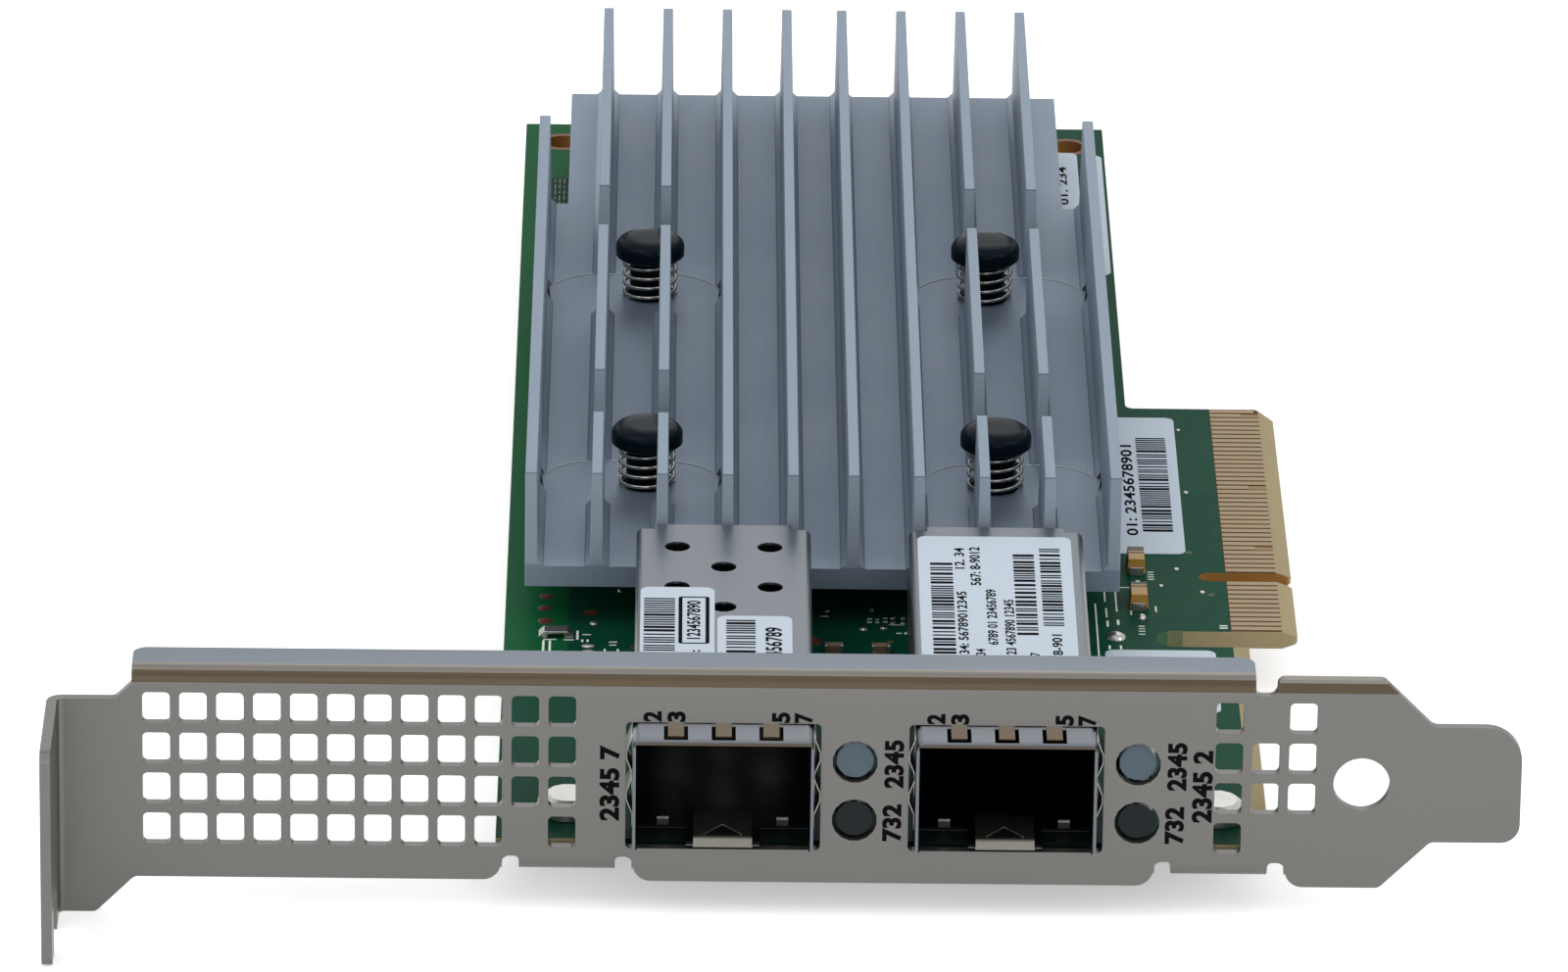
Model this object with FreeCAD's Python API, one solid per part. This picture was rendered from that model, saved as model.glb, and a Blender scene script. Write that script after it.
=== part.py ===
import FreeCAD, Part
import math
import os

# Dual-port network interface card: a low-profile board with an eight-lane edge
# connector, two pluggable-transceiver cages, a finned heatsink on spring-loaded
# push pins and a full-height bent steel bracket.
#
# Millimetres. The origin is on the centre line of the edge connector's key notch,
# at the tip of its fingers, half way through the board. +X points out of the
# fingers, +Y away from the bracket, +Z up out of the component side.

V = FreeCAD.Vector

# ---------------------------------------------------------------- board
BOARD_THICK = 1.57
BOARD_TOP = BOARD_THICK / 2
BOARD_BOTTOM = -BOARD_THICK / 2
BOARD_FRONT = -57.15
BOARD_LENGTH = 167.65
BOARD_REAR = BOARD_FRONT + BOARD_LENGTH
BOARD_LEFT = -67.6
BOARD_RIGHT = -13.1          # long edge behind the finger tongue
NEAR_RIGHT = -4.3            # edge between the bracket and the tongue
TONGUE_FRONT = -12.15
TONGUE_REAR = 39.15
TONGUE_CHAMFER = 1.6
RELIEF_WIDTH = 3.4           # slot in front of the tongue
RELIEF_DEPTH = 7.6
KEY_WIDTH = 1.9
KEY_DEPTH = 8.0
BEVEL_LENGTH = 1.3
BEVEL_DEPTH = 0.47
CORNER_HOLE_R = 1.6
CORNER_HOLES = [(-64.1, 105.6), (-16.6, 105.6)]

# ---------------------------------------------------------------- edge contacts
CONTACT_PITCH = 1.0
CONTACT_WIDTH = 0.7
CONTACT_START = -5.65        # inner end of the gold
CONTACT_THICK = 0.05
CONTACTS_PER_SIDE = 49
LAST_BEFORE_KEY = 11
KEY_TO_CONTACT = 1.5
SHORT_CUT = 1.6
SHORT_COMPONENT_SIDE = (17, 31, 48)
SHORT_SOLDER_SIDE = (1,)

# ---------------------------------------------------------------- bracket
SHEET = 0.86
TAB_FACE_X = -104.05         # outer face of the screw tab
FACE_Y = -58.55              # front face of the plate
PLATE_LOW_Z = -2.365         # lower edge of the plate
PLATE_HEIGHT = 18.42
PLATE_LENGTH = 120.02
BEND_INNER = 0.5
BEND_OUTER = BEND_INNER + SHEET
HEAD_LOW = -3.18             # wide end beside the tab
HEAD_HIGH = 15.7
HEAD_LENGTH = 3.84
TAB_DEPTH = 11.43
SCREW_NOTCH_R = 2.21
SCREW_NOTCH_AT = -5.9
SCREW_NOTCH_TOP = 1.5
FLANGE_START = 6.9
FLANGE_END = 98.2
FLANGE_DEPTH = 4.5
RIGHT_START = 99.95
TONGUE_START = 112.75
TONGUE_LOW = 4.115
TONGUE_HIGH = 14.305
HOLE_U = 107.0
HOLE_R = 2.3
EAR_CENTRES = (42.3, 95.57)
EAR_WIDTH = 7.84
EAR_RELIEF = 1.45
EAR_DEPTH = 10.6
EAR_BEND_INNER = 0.3
EAR_BEND_OUTER = EAR_BEND_INNER + SHEET
EAR_LOW_V = BOARD_BOTTOM - SHEET - PLATE_LOW_Z   # underside of the ears, above the plate's edge
EAR_SCREW_W = 6.9
EAR_HOLE_R = 1.6             # clearance through the board
EAR_TAP_R = 1.25
SCREW_TIP_Z = PLATE_LOW_Z + 0.25
SCREW_HEAD = (2.5, 1.7, 0.9, 1.7)   # radius, crown radius, rim height, full height
VENT_PITCH = 3.0
VENT_ROW_PITCH = 3.55
VENT_ROWS = 4
VENT_LOW_V = 4.3
VENT_SIZE = (2.24, 2.72)
VENT_LEFT_U = 8.87
VENT_LEFT_COLUMNS = 12
VENT_RIGHT_U = 96.15
LAMP_HOLE_R = 1.82
LAMP_HEIGHTS = (10.77, 5.6)
PORT_CUTOUT = (15.9, 11.2)
PORT_CUTOUT_LOW = 2.9

# ---------------------------------------------------------------- ports
PORT_X = {"port_1": -26.0, "port_2": -49.05}
LAMP_OFFSET = 10.72          # lamps stand to the right of each port
CAGE_WIDTH = 14.75
CAGE_HEIGHT = 9.8
CAGE_SHEET = 0.25
CAGE_FRONT = FACE_Y - 1.5
CAGE_REAR = FACE_Y + 44.3
CAGE_EDGE_R = 0.6
CAGE_HOLE_R = 1.05
CAGE_HOLE_PITCH = 4.37
CAGE_HOLE_SPREAD = 3.9
CAGE_HOLE_REAR = FACE_Y + 40.4
CAGE_HOLE_ROWS = 5
CAGE_SLOT = (1.96, 3.3)
CAGE_SLOT_SPREAD = 3.88
CAGE_PIN_ROWS = (10.0, 36.0)
CAGE_PIN_LENGTH = 2.3
CAGE_PIN_HOLE_R = 0.5
LATCH_HALF = 2.45
LATCH_WINDOW = (3.0, 7.0)    # floor openings beside the latch, from the port's centre
LATCH_WINDOW_DEPTH = 5.2
LATCH_HOLE = (3.0, 2.0)      # triangle across and along the floor
LATCH_HOLE_AT = FACE_Y + 1.9
LIP_RADII = (0.35, 0.6)
REAR_TAB_HALF = 5.8

# ---------------------------------------------------------------- spring collars
COLLAR_GAUGE = 0.12
COLLAR_FRONT = FACE_Y + 2.6
COLLAR_REAR = FACE_Y + 4.8
COLLAR_LOW = BOARD_TOP + 0.5
COLLAR_TONGUE = (1.34, 3.0)  # strips that lie in the roof's slots
BOW_WIDTH = 1.9
BOW_LENGTH = 3.1
ROOF_BOW_RISE = 0.75
SIDE_BOW_LOW = (BOARD_TOP + 2.6, BOARD_TOP + 6.2)

# ---------------------------------------------------------------- host connectors
CONNECTOR_HALF = 5.7
CONNECTOR_SPAN = (FACE_Y + 33.0, FACE_Y + 41.5)
CONNECTOR_LOW = BOARD_TOP + 0.5
CONNECTOR_HIGH = BOARD_TOP + 5.6
CARD_SLOT = (BOARD_TOP + 2.9, BOARD_TOP + 4.3)   # gap for the module's blade
CARD_SLOT_DEPTH = 5.6
CONNECTOR_FOOT_OFFSET = 4.9
CONTACT_FIELD_HALF = 4.0
SPRING_CONTACTS = 10
SPRING_CONTACT_PITCH = 0.8
SPRING_CONTACT_WIDTH = 0.28

# ---------------------------------------------------------------- lamps
PIPE_R = 1.5
PIPE_WIDTH = 2.8
PIPE_FRONT = FACE_Y + 0.35
PIPE_REACH = (13.2, 9.4)     # behind the plate, upper and lower
PIPE_FOOT = BOARD_TOP + 0.75
PIPE_WEB_Y = FACE_Y + 5.0
LED_SIZE = (1.6, 0.8, 0.6)

# ---------------------------------------------------------------- heatsink
SINK_X = -40.6
SINK_FRONT = -12.35
SINK_SHOULDER = 74.65        # the outer fins end here
SINK_REAR = 103.85
SINK_BOTTOM = 4.385
SINK_BASE = 1.9
SINK_HALF = 25.3
SINK_NARROW_HALF = 22.66
FIN_TOP = 14.9
FIN_PITCH = 5.55
FIN_INNER_OFFSET = 2.57      # the two middle fins stand closer together
FIN_ROOT = 1.12
FIN_TIP = 0.9
FIN_ROOT_BEVEL = 0.5
MILL_R = 5.0
MILL_SINK = 0.08

# ---------------------------------------------------------------- push pins
PIN_SPREAD = 15.05
PIN_FRONT_Y = 6.65
PIN_REAR_Y = 51.85
PIN_CAP_R = 3.35
PIN_CAP_BASE = 10.2
PIN_CAP_RIM = 10.95
PIN_CAP_TOP = 12.0
PIN_CAP_CROWN_R = 2.35
PIN_SHAFT_R = 1.8
PIN_BARB_R = 2.1
PIN_TIP_R = 0.9
PIN_TIP_Z = BOARD_BOTTOM - 2.4
BOARD_PIN_R = 1.85
SINK_PIN_R = 2.05
SPRING_R = 2.45
SPRING_WIRE = 0.25
SPRING_TURNS = 4
SPRING_SIDES = 8             # straight stretches in each turn

# ---------------------------------------------------------------- controller
CHIP_Y = 29.25
SUBSTRATE = (25.0, 1.2)      # side, height
LID = (19.0, 1.3)
LID_BEVEL = 0.3
PAD = (18.0, 0.3)
PEDESTAL_SIDE = LID[0] + 2

# ---------------------------------------------------------------- other components
POWER_X = (-53.0, -43.5)
INDUCTOR = (83.0, 6.4, 3.0)  # y, side, height
REGULATOR = (73.0, 5.0, 0.9)
FLASH_AT = (-31.0, 82.0)
FLASH_SIZE = (3.9, 4.9, 1.5)
FLASH_LEADS = 4
LEAD_PITCH = 1.27
LEAD_SIZE = (0.9, 0.4, 0.25)
OSCILLATOR_AT = (-20.7, 74.0)
OSCILLATOR_SIZE = (3.2, 2.5, 0.9)
TANTALUM_AT = ((-13.4, 1.65), (-13.4, -6.3))
TANTALUM_LENGTH = 2.9
TANTALUM_HALF = (0.8, 0.7)   # at the foot and at the top
TANTALUM_LOW = BOARD_TOP + 0.15
TANTALUM_HEIGHT = 1.35
TERMINAL_WIDTH = 1.2
TERMINAL_GAUGE = 0.25
CHIP_CAPACITOR = (1.0, 0.8, 0.8)    # body between its ends, across, height
CHIP_CAPACITOR_END = (0.3, 0.82, 0.82)
CHIP_RING = 15.5             # decoupling capacitors around the controller
CHIP_RING_STEP = 7.5
FRONT_CAPACITORS = ((-39.6, -17.6, False), (-35.6, -17.6, False),
                    (-38.2, -26.6, True), (-63.0, -20.5, True))
SHUNT_X = (-64.7, -61.7)
SHUNT_Y = (-15.2, -13.8)

# ---------------------------------------------------------------- labels
LABEL_THICK = 0.1
BOARD_LABELS = {             # x low, x high, y low, y high
    "serial_label": (-18.6, -8.95, 4.95, 36.65),
    "front_label": (-16.6, -7.2, -30.0, -16.6),
    "rear_label": (-18.1, -15.7, 88.4, 103.8),
    "edge_label": (-15.3, -13.4, 72.0, 103.2),
}
CAGE_LABELS = {              # port, x from its centre, y low, y high
    "cage_label_port_1": ("port_1", -6.7, 6.3, -52.5, -15.5),
    "cage_label_left_port_2": ("port_2", -6.95, -0.75, -52.0, -27.3),
    "cage_label_right_port_2": ("port_2", -0.55, 5.7, -52.0, -33.4),
}


# ================================================================ helpers
def flat(a, b):
    """A point of an outline that lies in a horizontal plane."""
    return V(a, b, 0)


def upright(a, b):
    """A point of an outline that stands along X, seen from the front."""
    return V(a, 0, b)


def side(a, b):
    """A point of an outline that stands along Y, seen from the side."""
    return V(0, a, b)


def outline(corners, plane=flat):
    """A face whose corners (a, b, radius) are joined by lines and tangent arcs."""
    count = len(corners)
    starts, ends, middles = [], [], []
    for index, (a, b, radius) in enumerate(corners):
        here = V(a, b, 0)
        back = V(*corners[index - 1][:2], 0) - here
        ahead = V(*corners[(index + 1) % count][:2], 0) - here
        back.normalize()
        ahead.normalize()
        half = back.getAngle(ahead) / 2
        reach = radius / math.tan(half) if radius else 0
        starts.append(here + back * reach)
        ends.append(here + ahead * reach)
        if radius:
            inward = back + ahead
            inward.normalize()
            middles.append(here + inward * (radius / math.sin(half) - radius))
        else:
            middles.append(None)
    edges = []
    for index in range(count):
        if middles[index]:
            points = (starts[index], middles[index], ends[index])
            edges.append(Part.Arc(*[plane(p.x, p.y) for p in points]).toShape())
        following = starts[(index + 1) % count]
        if ends[index].distanceToPoint(following) > 1e-6:
            line = (plane(ends[index].x, ends[index].y), plane(following.x, following.y))
            edges.append(Part.LineSegment(*line).toShape())
    return Part.Face(Part.Wire(edges))


def slab(corners, low, high):
    """A plate with the given outline between two heights."""
    plate = outline(corners)
    plate.translate(V(0, 0, low))
    return plate.extrude(V(0, 0, high - low))


def block(x_low, x_high, y_low, y_high, z_low, z_high):
    """A box given by its limits."""
    return Part.makeBox(x_high - x_low, y_high - y_low, z_high - z_low, V(x_low, y_low, z_low))


def centred(x, y, width, depth, z_low, height):
    """A box given by its centre in plan, its size and its foot."""
    return Part.makeBox(width, depth, height, V(x - width / 2, y - depth / 2, z_low))


def bar(x, z, radius, y_low, y_high):
    """A round bar along Y."""
    return Part.makeCylinder(radius, y_high - y_low, V(x, y_low, z), V(0, 1, 0))


def polygon_ring(radius, sides, x, y, z):
    """A closed regular polygon whose flats are as far from its centre as the radius."""
    reach = radius / math.cos(math.pi / sides)
    corners = []
    for step in range(sides + 1):
        angle = math.pi * (2 * step + 1) / sides
        corners.append(V(x + reach * math.cos(angle), y + reach * math.sin(angle), z))
    return Part.makePolygon(corners)


def facet_post(x, y, radius, z_low, z_high, sides=12):
    """A small upright post or drilled hole, many-sided because it repeats often."""
    return Part.Face(polygon_ring(radius, sides, x, y, z_low)).extrude(V(0, 0, z_high - z_low))


def facet_bar(x, z, radius, y_low, y_high, sides=16):
    """A small post along Y."""
    rod = facet_post(0, 0, radius, y_low, y_high, sides)
    rod.rotate(V(0, 0, 0), V(1, 0, 0), -90)
    rod.translate(V(x, 0, z))
    return rod


def facet_turned(profile, x, y, sides):
    """A small turned piece from (radius, height) points, from its foot up, many-sided."""
    rings = [polygon_ring(radius, sides, x, y, z) for radius, z in profile]
    faces = [Part.Face(rings[0]), Part.Face(rings[-1])]
    for lower, upper, (_, z_low), (_, z_high) in zip(rings, rings[1:], profile, profile[1:]):
        if z_low == z_high:
            inner, outer = sorted((lower, upper), key=lambda wire: wire.Length)
            faces.append(Part.Face(outer).cut(Part.Face(inner)).Faces[0])
            continue
        low, high = [[edge.Vertexes[0].Point for edge in wire.Edges] for wire in (lower, upper)]
        for step in range(sides):
            after = (step + 1) % sides
            corners = [low[step], low[after], high[after], high[step], low[step]]
            faces.append(Part.Face(Part.makePolygon(corners)))
    return Part.Solid(Part.Shell(faces))


def joined(shapes):
    """One solid from shapes that touch or overlap."""
    return shapes[0].multiFuse(shapes[1:]).removeSplitter()


def carved(body, tools):
    """The body with every tool cut out of it."""
    return body.cut(Part.makeCompound(tools))


def group(shapes):
    """Several separate solids that share one node."""
    return Part.makeCompound(shapes)


# ================================================================ board
def board_outline():
    """The board's edge, with the finger tongue, its relief slot and the key notch."""
    relief_low = TONGUE_FRONT - RELIEF_WIDTH
    relief_r = RELIEF_WIDTH / 2 - 0.01
    key = KEY_WIDTH / 2
    return [
        (BOARD_LEFT, BOARD_FRONT, 0),
        (NEAR_RIGHT, BOARD_FRONT, 0),
        (NEAR_RIGHT, relief_low, 0),
        (-RELIEF_DEPTH, relief_low, relief_r),
        (-RELIEF_DEPTH, TONGUE_FRONT, relief_r),
        (0, TONGUE_FRONT, 0.4),
        (0, -key - 0.35, 0),
        (-0.35, -key, 0),
        (-KEY_DEPTH, -key, key - 0.01),
        (-KEY_DEPTH, key, key - 0.01),
        (-0.35, key, 0),
        (0, key + 0.35, 0),
        (0, TONGUE_REAR - TONGUE_CHAMFER, 0),
        (-TONGUE_CHAMFER, TONGUE_REAR, 0),
        (BOARD_RIGHT, TONGUE_REAR, 0.8),
        (BOARD_RIGHT, BOARD_REAR, 0),
        (BOARD_LEFT, BOARD_REAR, 0),
    ]


def pin_places():
    """The four push pins, named by the corner of the heatsink they hold."""
    return {
        side_name + "_" + end_name: (SINK_X + sign * PIN_SPREAD, y)
        for side_name, sign in (("left", -1), ("right", 1))
        for end_name, y in (("front", PIN_FRONT_Y), ("rear", PIN_REAR_Y))
    }


def cage_pin_places(port_x):
    """Press-fit pins under both side walls of a cage."""
    reach = (CAGE_WIDTH - CAGE_SHEET) / 2
    return [(port_x + sign * reach, FACE_Y + w) for sign in (-1, 1) for w in CAGE_PIN_ROWS]


def ear_screw_places():
    """The screws that hold the board to the bracket's ears."""
    return [(TAB_FACE_X + u, FACE_Y + EAR_SCREW_W) for u in EAR_CENTRES]


def make_board():
    """The laminate: outline, drilled holes and the bevelled finger edge."""
    body = slab(board_outline(), BOARD_BOTTOM, BOARD_TOP)
    holes = [(x, y, CORNER_HOLE_R) for x, y in CORNER_HOLES]
    holes += [(x, y, BOARD_PIN_R) for x, y in pin_places().values()]
    holes += [(x, y, EAR_HOLE_R) for x, y in ear_screw_places()]
    tools = [facet_post(x, y, r, -1, 1) for x, y, r in holes]
    for port_x in PORT_X.values():
        tools += [facet_post(x, y, CAGE_PIN_HOLE_R, -1, 1, 8) for x, y in cage_pin_places(port_x)]
    for sign in (-1, 1):
        corners = [
            (-BEVEL_LENGTH, sign * BOARD_TOP, 0),
            (0.5, sign * (BOARD_TOP - BEVEL_DEPTH * (BEVEL_LENGTH + 0.5) / BEVEL_LENGTH), 0),
            (0.5, sign * (BOARD_TOP + 0.5), 0),
            (-BEVEL_LENGTH, sign * (BOARD_TOP + 0.5), 0),
        ]
        wedge = outline(corners, upright)
        wedge.translate(V(0, TONGUE_FRONT - 1, 0))
        tools.append(wedge.extrude(V(0, TONGUE_REAR - TONGUE_FRONT + 2, 0)))
    return carved(body, tools)


def contact_y(number):
    """The centre of a contact, counted from the bracket's end, past the key notch."""
    if number <= LAST_BEFORE_KEY:
        return -KEY_TO_CONTACT - (LAST_BEFORE_KEY - number) * CONTACT_PITCH
    return KEY_TO_CONTACT + (number - LAST_BEFORE_KEY - 1) * CONTACT_PITCH


def make_contacts(z_low, short):
    """One side's gold contacts, a few of them short for presence detection."""
    strips = []
    for number in range(1, CONTACTS_PER_SIDE + 1):
        tip = -BEVEL_LENGTH - (SHORT_CUT if number in short else 0.02)
        last = number == CONTACTS_PER_SIDE
        tip = min(tip, -TONGUE_CHAMFER - 0.1) if last else tip
        y = contact_y(number)
        half = CONTACT_WIDTH / 2
        strips.append(block(CONTACT_START, tip, y - half, y + half, z_low, z_low + CONTACT_THICK))
    return group(strips)


# ================================================================ bracket
def on_bracket(shape):
    """Moves a shape from the bracket's own corner to its place on the card."""
    shape.translate(V(TAB_FACE_X, FACE_Y, PLATE_LOW_Z))
    return shape


def bend(length, start, centre_a, centre_b, first_angle, axis, inner, outer):
    """A quarter ring of sheet swept along a fold: axis X for flanges, Z for the tab."""
    arcs = []
    for radius in (outer, inner):
        angles = (first_angle, first_angle + 45, first_angle + 90)
        points = []
        for angle in angles:
            a = centre_a + radius * math.cos(math.radians(angle))
            b = centre_b + radius * math.sin(math.radians(angle))
            points.append(V(start, a, b) if axis == "X" else V(a, b, start))
        arcs.append(points)
    edges = [
        Part.Arc(*arcs[0]).toShape(),
        Part.LineSegment(arcs[0][2], arcs[1][2]).toShape(),
        Part.Arc(*reversed(arcs[1])).toShape(),
        Part.LineSegment(arcs[1][0], arcs[0][0]).toShape(),
    ]
    run = V(length, 0, 0) if axis == "X" else V(0, 0, length)
    return Part.Face(Part.Wire(edges)).extrude(run)


def plate_outline():
    """The flat part of the plate, up to the tangent line of each bend."""
    ear_line = EAR_LOW_V + EAR_BEND_OUTER
    relief_top = ear_line + 0.25
    corners = [
        (BEND_OUTER, HEAD_LOW, 0),
        (HEAD_LENGTH, HEAD_LOW, 0.8),
        (HEAD_LENGTH - HEAD_LOW, 0, 0.8),
    ]
    for centre in EAR_CENTRES:
        left, right = centre - EAR_WIDTH / 2, centre + EAR_WIDTH / 2
        corners += [
            (left - EAR_RELIEF, 0, 1.5),
            (left - EAR_RELIEF, relief_top, 0.7),
            (left, relief_top, 0),
            (left, ear_line, 0),
            (right, ear_line, 0),
            (right, relief_top, 0),
            (right + EAR_RELIEF, relief_top, 0.7),
            (right + EAR_RELIEF, 0, 1.5),
        ]
    flange_line = PLATE_HEIGHT - BEND_OUTER
    corners += [
        (TONGUE_START - TONGUE_LOW, 0, 0.8),
        (TONGUE_START, TONGUE_LOW, 0.8),
        (PLATE_LENGTH, TONGUE_LOW, 1.6),
        (PLATE_LENGTH, TONGUE_HIGH, 3.0),
        (TONGUE_START, TONGUE_HIGH, 0.8),
        (TONGUE_START - PLATE_HEIGHT + TONGUE_HIGH, PLATE_HEIGHT, 0.8),
        (RIGHT_START, PLATE_HEIGHT, 0.6),
        (RIGHT_START, flange_line - 0.16, 0.7),
        (FLANGE_END, flange_line - 0.16, 0),
        (FLANGE_END, flange_line, 0),
        (FLANGE_START, flange_line, 0),
        (FLANGE_START - flange_line + HEAD_HIGH, HEAD_HIGH, 0.7),
        (BEND_OUTER, HEAD_HIGH, 0),
    ]
    return corners


def vent_places():
    """Centres of the vents: two groups of rows with some holes left out."""
    places = []
    for column in range(VENT_LEFT_COLUMNS):
        for row in range(VENT_ROWS):
            if not (column == VENT_LEFT_COLUMNS - 2 and row == 0):
                places.append((VENT_LEFT_U + column * VENT_PITCH, row))
    right_rows = ((0, 1, 2, 3), (1, 2), (1, 2, 3))
    for column, rows in enumerate(right_rows):
        places += [(VENT_RIGHT_U + column * VENT_PITCH, row) for row in rows]
    return [(u, VENT_LOW_V + row * VENT_ROW_PITCH) for u, row in places]


def plate_openings():
    """Everything punched through the plate, as tools across its thickness."""
    tools = []
    half_u, half_v = VENT_SIZE[0] / 2, VENT_SIZE[1] / 2
    for u, v in vent_places():
        tools.append(block(u - half_u, u + half_u, -1, SHEET + 1, v - half_v, v + half_v))
    tools.append(bar(HOLE_U, PLATE_HEIGHT / 2, HOLE_R, -1, SHEET + 1))
    for port_x in PORT_X.values():
        u = port_x - TAB_FACE_X
        half = PORT_CUTOUT[0] / 2
        high = PORT_CUTOUT_LOW + PORT_CUTOUT[1]
        tools.append(block(u - half, u + half, -1, SHEET + 1, PORT_CUTOUT_LOW, high))
        for height in LAMP_HEIGHTS:
            tools.append(facet_bar(u + LAMP_OFFSET, height, LAMP_HOLE_R, -1, SHEET + 1))
    return tools


def bracket_tab():
    """The screw tab, bent towards the outside of the case, with its open notch."""
    corners = [
        (-BEND_INNER, HEAD_LOW, 0),
        (-BEND_INNER, HEAD_HIGH, 0),
        (-TAB_DEPTH, HEAD_HIGH, 1.0),
        (-TAB_DEPTH, HEAD_LOW, 1.0),
    ]
    tab = outline(corners, side).extrude(V(SHEET, 0, 0))
    centre = SCREW_NOTCH_TOP - SCREW_NOTCH_R
    throat = block(-1, 2, SCREW_NOTCH_AT - SCREW_NOTCH_R, SCREW_NOTCH_AT + SCREW_NOTCH_R,
                   HEAD_LOW - 1, centre)
    crown = Part.makeCylinder(SCREW_NOTCH_R, 3, V(-1, SCREW_NOTCH_AT, centre), V(1, 0, 0))
    return carved(tab, [throat, crown])


def bracket_ear(centre):
    """A lug folded under the board, with the tapped hole for its screw."""
    left = centre - EAR_WIDTH / 2
    low = EAR_LOW_V
    fold_w = SHEET + EAR_BEND_INNER
    fold = bend(EAR_WIDTH, left, fold_w, low + EAR_BEND_OUTER, 180, "X",
                EAR_BEND_INNER, EAR_BEND_OUTER)
    corners = [
        (left, fold_w, 0),
        (left + EAR_WIDTH, fold_w, 0),
        (left + EAR_WIDTH, EAR_DEPTH, 1.5),
        (left, EAR_DEPTH, 1.5),
    ]
    lug = slab(corners, low, low + SHEET)
    lug = lug.cut(facet_post(centre, EAR_SCREW_W, EAR_TAP_R, low - 1, low + 2))
    return [fold, lug]


def make_bracket():
    """The whole bent sheet: plate, screw tab, stiffening flange and two ears."""
    plate = outline(plate_outline(), upright).extrude(V(0, SHEET, 0))
    plate = carved(plate, plate_openings())
    pieces = [plate, bracket_tab()]
    pieces.append(bend(HEAD_HIGH - HEAD_LOW, HEAD_LOW, BEND_OUTER, -BEND_INNER, 90, "Z",
                       BEND_INNER, BEND_OUTER))
    flange_length = FLANGE_END - FLANGE_START
    fold_w = SHEET + BEND_INNER
    pieces.append(bend(flange_length, FLANGE_START, fold_w, PLATE_HEIGHT - BEND_OUTER, 90, "X",
                       BEND_INNER, BEND_OUTER))
    flange = [
        (FLANGE_START, fold_w, 0),
        (FLANGE_END, fold_w, 0),
        (FLANGE_END, FLANGE_DEPTH, 1.2),
        (FLANGE_START, FLANGE_DEPTH, 1.2),
    ]
    pieces.append(slab(flange, PLATE_HEIGHT - SHEET, PLATE_HEIGHT))
    for centre in EAR_CENTRES:
        pieces += bracket_ear(centre)
    return on_bracket(joined(pieces))


def make_ear_screws():
    """Pan-head screws through the board into the ears."""
    head_r, crown_r, rim, height = SCREW_HEAD
    profile = [
        (EAR_TAP_R, SCREW_TIP_Z), (EAR_TAP_R, BOARD_TOP), (head_r, BOARD_TOP),
        (head_r, BOARD_TOP + rim), (crown_r, BOARD_TOP + height),
    ]
    return group([facet_turned(profile, x, y, 12) for x, y in ear_screw_places()])


# ================================================================ ports
def cage_roof_tools(port_x, high):
    """The roof's vents, in a staggered pattern, and the three slots behind its front edge."""
    tools = []
    for row in range(CAGE_HOLE_ROWS):
        y = CAGE_HOLE_REAR - row * CAGE_HOLE_PITCH
        spread = (-CAGE_HOLE_SPREAD, CAGE_HOLE_SPREAD) if row % 2 == 0 else (0,)
        tools += [facet_post(port_x + dx, y, CAGE_HOLE_R, high - 1, high + 1) for dx in spread]
    slot_w, slot_l = CAGE_SLOT
    for step in (-1, 0, 1):
        x = port_x + step * CAGE_SLOT_SPREAD
        tools.append(centred(x, CAGE_FRONT + 0.6 + slot_l / 2, slot_w, slot_l, high - 1, 2))
    return tools


def cage_floor_tools(port_x, low):
    """The floor's openings: beside the latch, the latch's triangle and the connector's gap."""
    tools = []
    for sign in (-1, 1):
        near, far = sorted((port_x + sign * LATCH_WINDOW[0], port_x + sign * LATCH_WINDOW[1]))
        tools.append(block(near, far, CAGE_FRONT - 1, CAGE_FRONT + LATCH_WINDOW_DEPTH,
                           low - 1, low + 0.5))
    across, along = LATCH_HOLE
    triangle = [(port_x - across / 2, LATCH_HOLE_AT), (port_x + across / 2, LATCH_HOLE_AT),
                (port_x, LATCH_HOLE_AT + along)]
    tools.append(slab([(a, b, 0) for a, b in triangle], low - 1, low + 1))
    tools.append(block(port_x - CONNECTOR_HALF - 0.3, port_x + CONNECTOR_HALF + 0.3,
                       CONNECTOR_SPAN[0] - 1.2, CAGE_REAR - 1.5, low - 1, low + 0.5))
    return tools


def make_cage(port_x):
    """A folded sheet cage: vented roof, slotted lip, latch in the floor, press-fit pins."""
    half = CAGE_WIDTH / 2
    low, high = BOARD_TOP, BOARD_TOP + CAGE_HEIGHT
    inner = half - CAGE_SHEET
    profile = [(port_x - half, low, 0), (port_x + half, low, 0),
               (port_x + half, high, CAGE_EDGE_R), (port_x - half, high, CAGE_EDGE_R)]
    shell = outline(profile, upright)
    shell.translate(V(0, CAGE_FRONT, 0))
    shell = shell.extrude(V(0, CAGE_REAR - CAGE_FRONT, 0))
    bay = block(port_x - inner, port_x + inner, CAGE_FRONT - 1, CAGE_REAR - CAGE_SHEET,
                low + CAGE_SHEET, high - CAGE_SHEET)
    walls = carved(shell, [bay] + cage_roof_tools(port_x, high) + cage_floor_tools(port_x, low))
    rear_tab = block(port_x - REAR_TAB_HALF, port_x + REAR_TAB_HALF, CAGE_REAR, CAGE_REAR + 1.0,
                     high - CAGE_SHEET, high)
    inner_r, outer_r = LIP_RADII
    lip = bend(2 * LATCH_HALF, port_x - LATCH_HALF, CAGE_FRONT, low + CAGE_SHEET - outer_r, 90,
               "X", inner_r, outer_r)
    pins = []
    for x, y in cage_pin_places(port_x):
        reach = CAGE_SHEET / 2
        pins.append(block(x - reach, x + reach, y - 0.35, y + 0.35, low - CAGE_PIN_LENGTH, low + 1))
    return joined([walls, rear_tab, lip] + pins)


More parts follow.
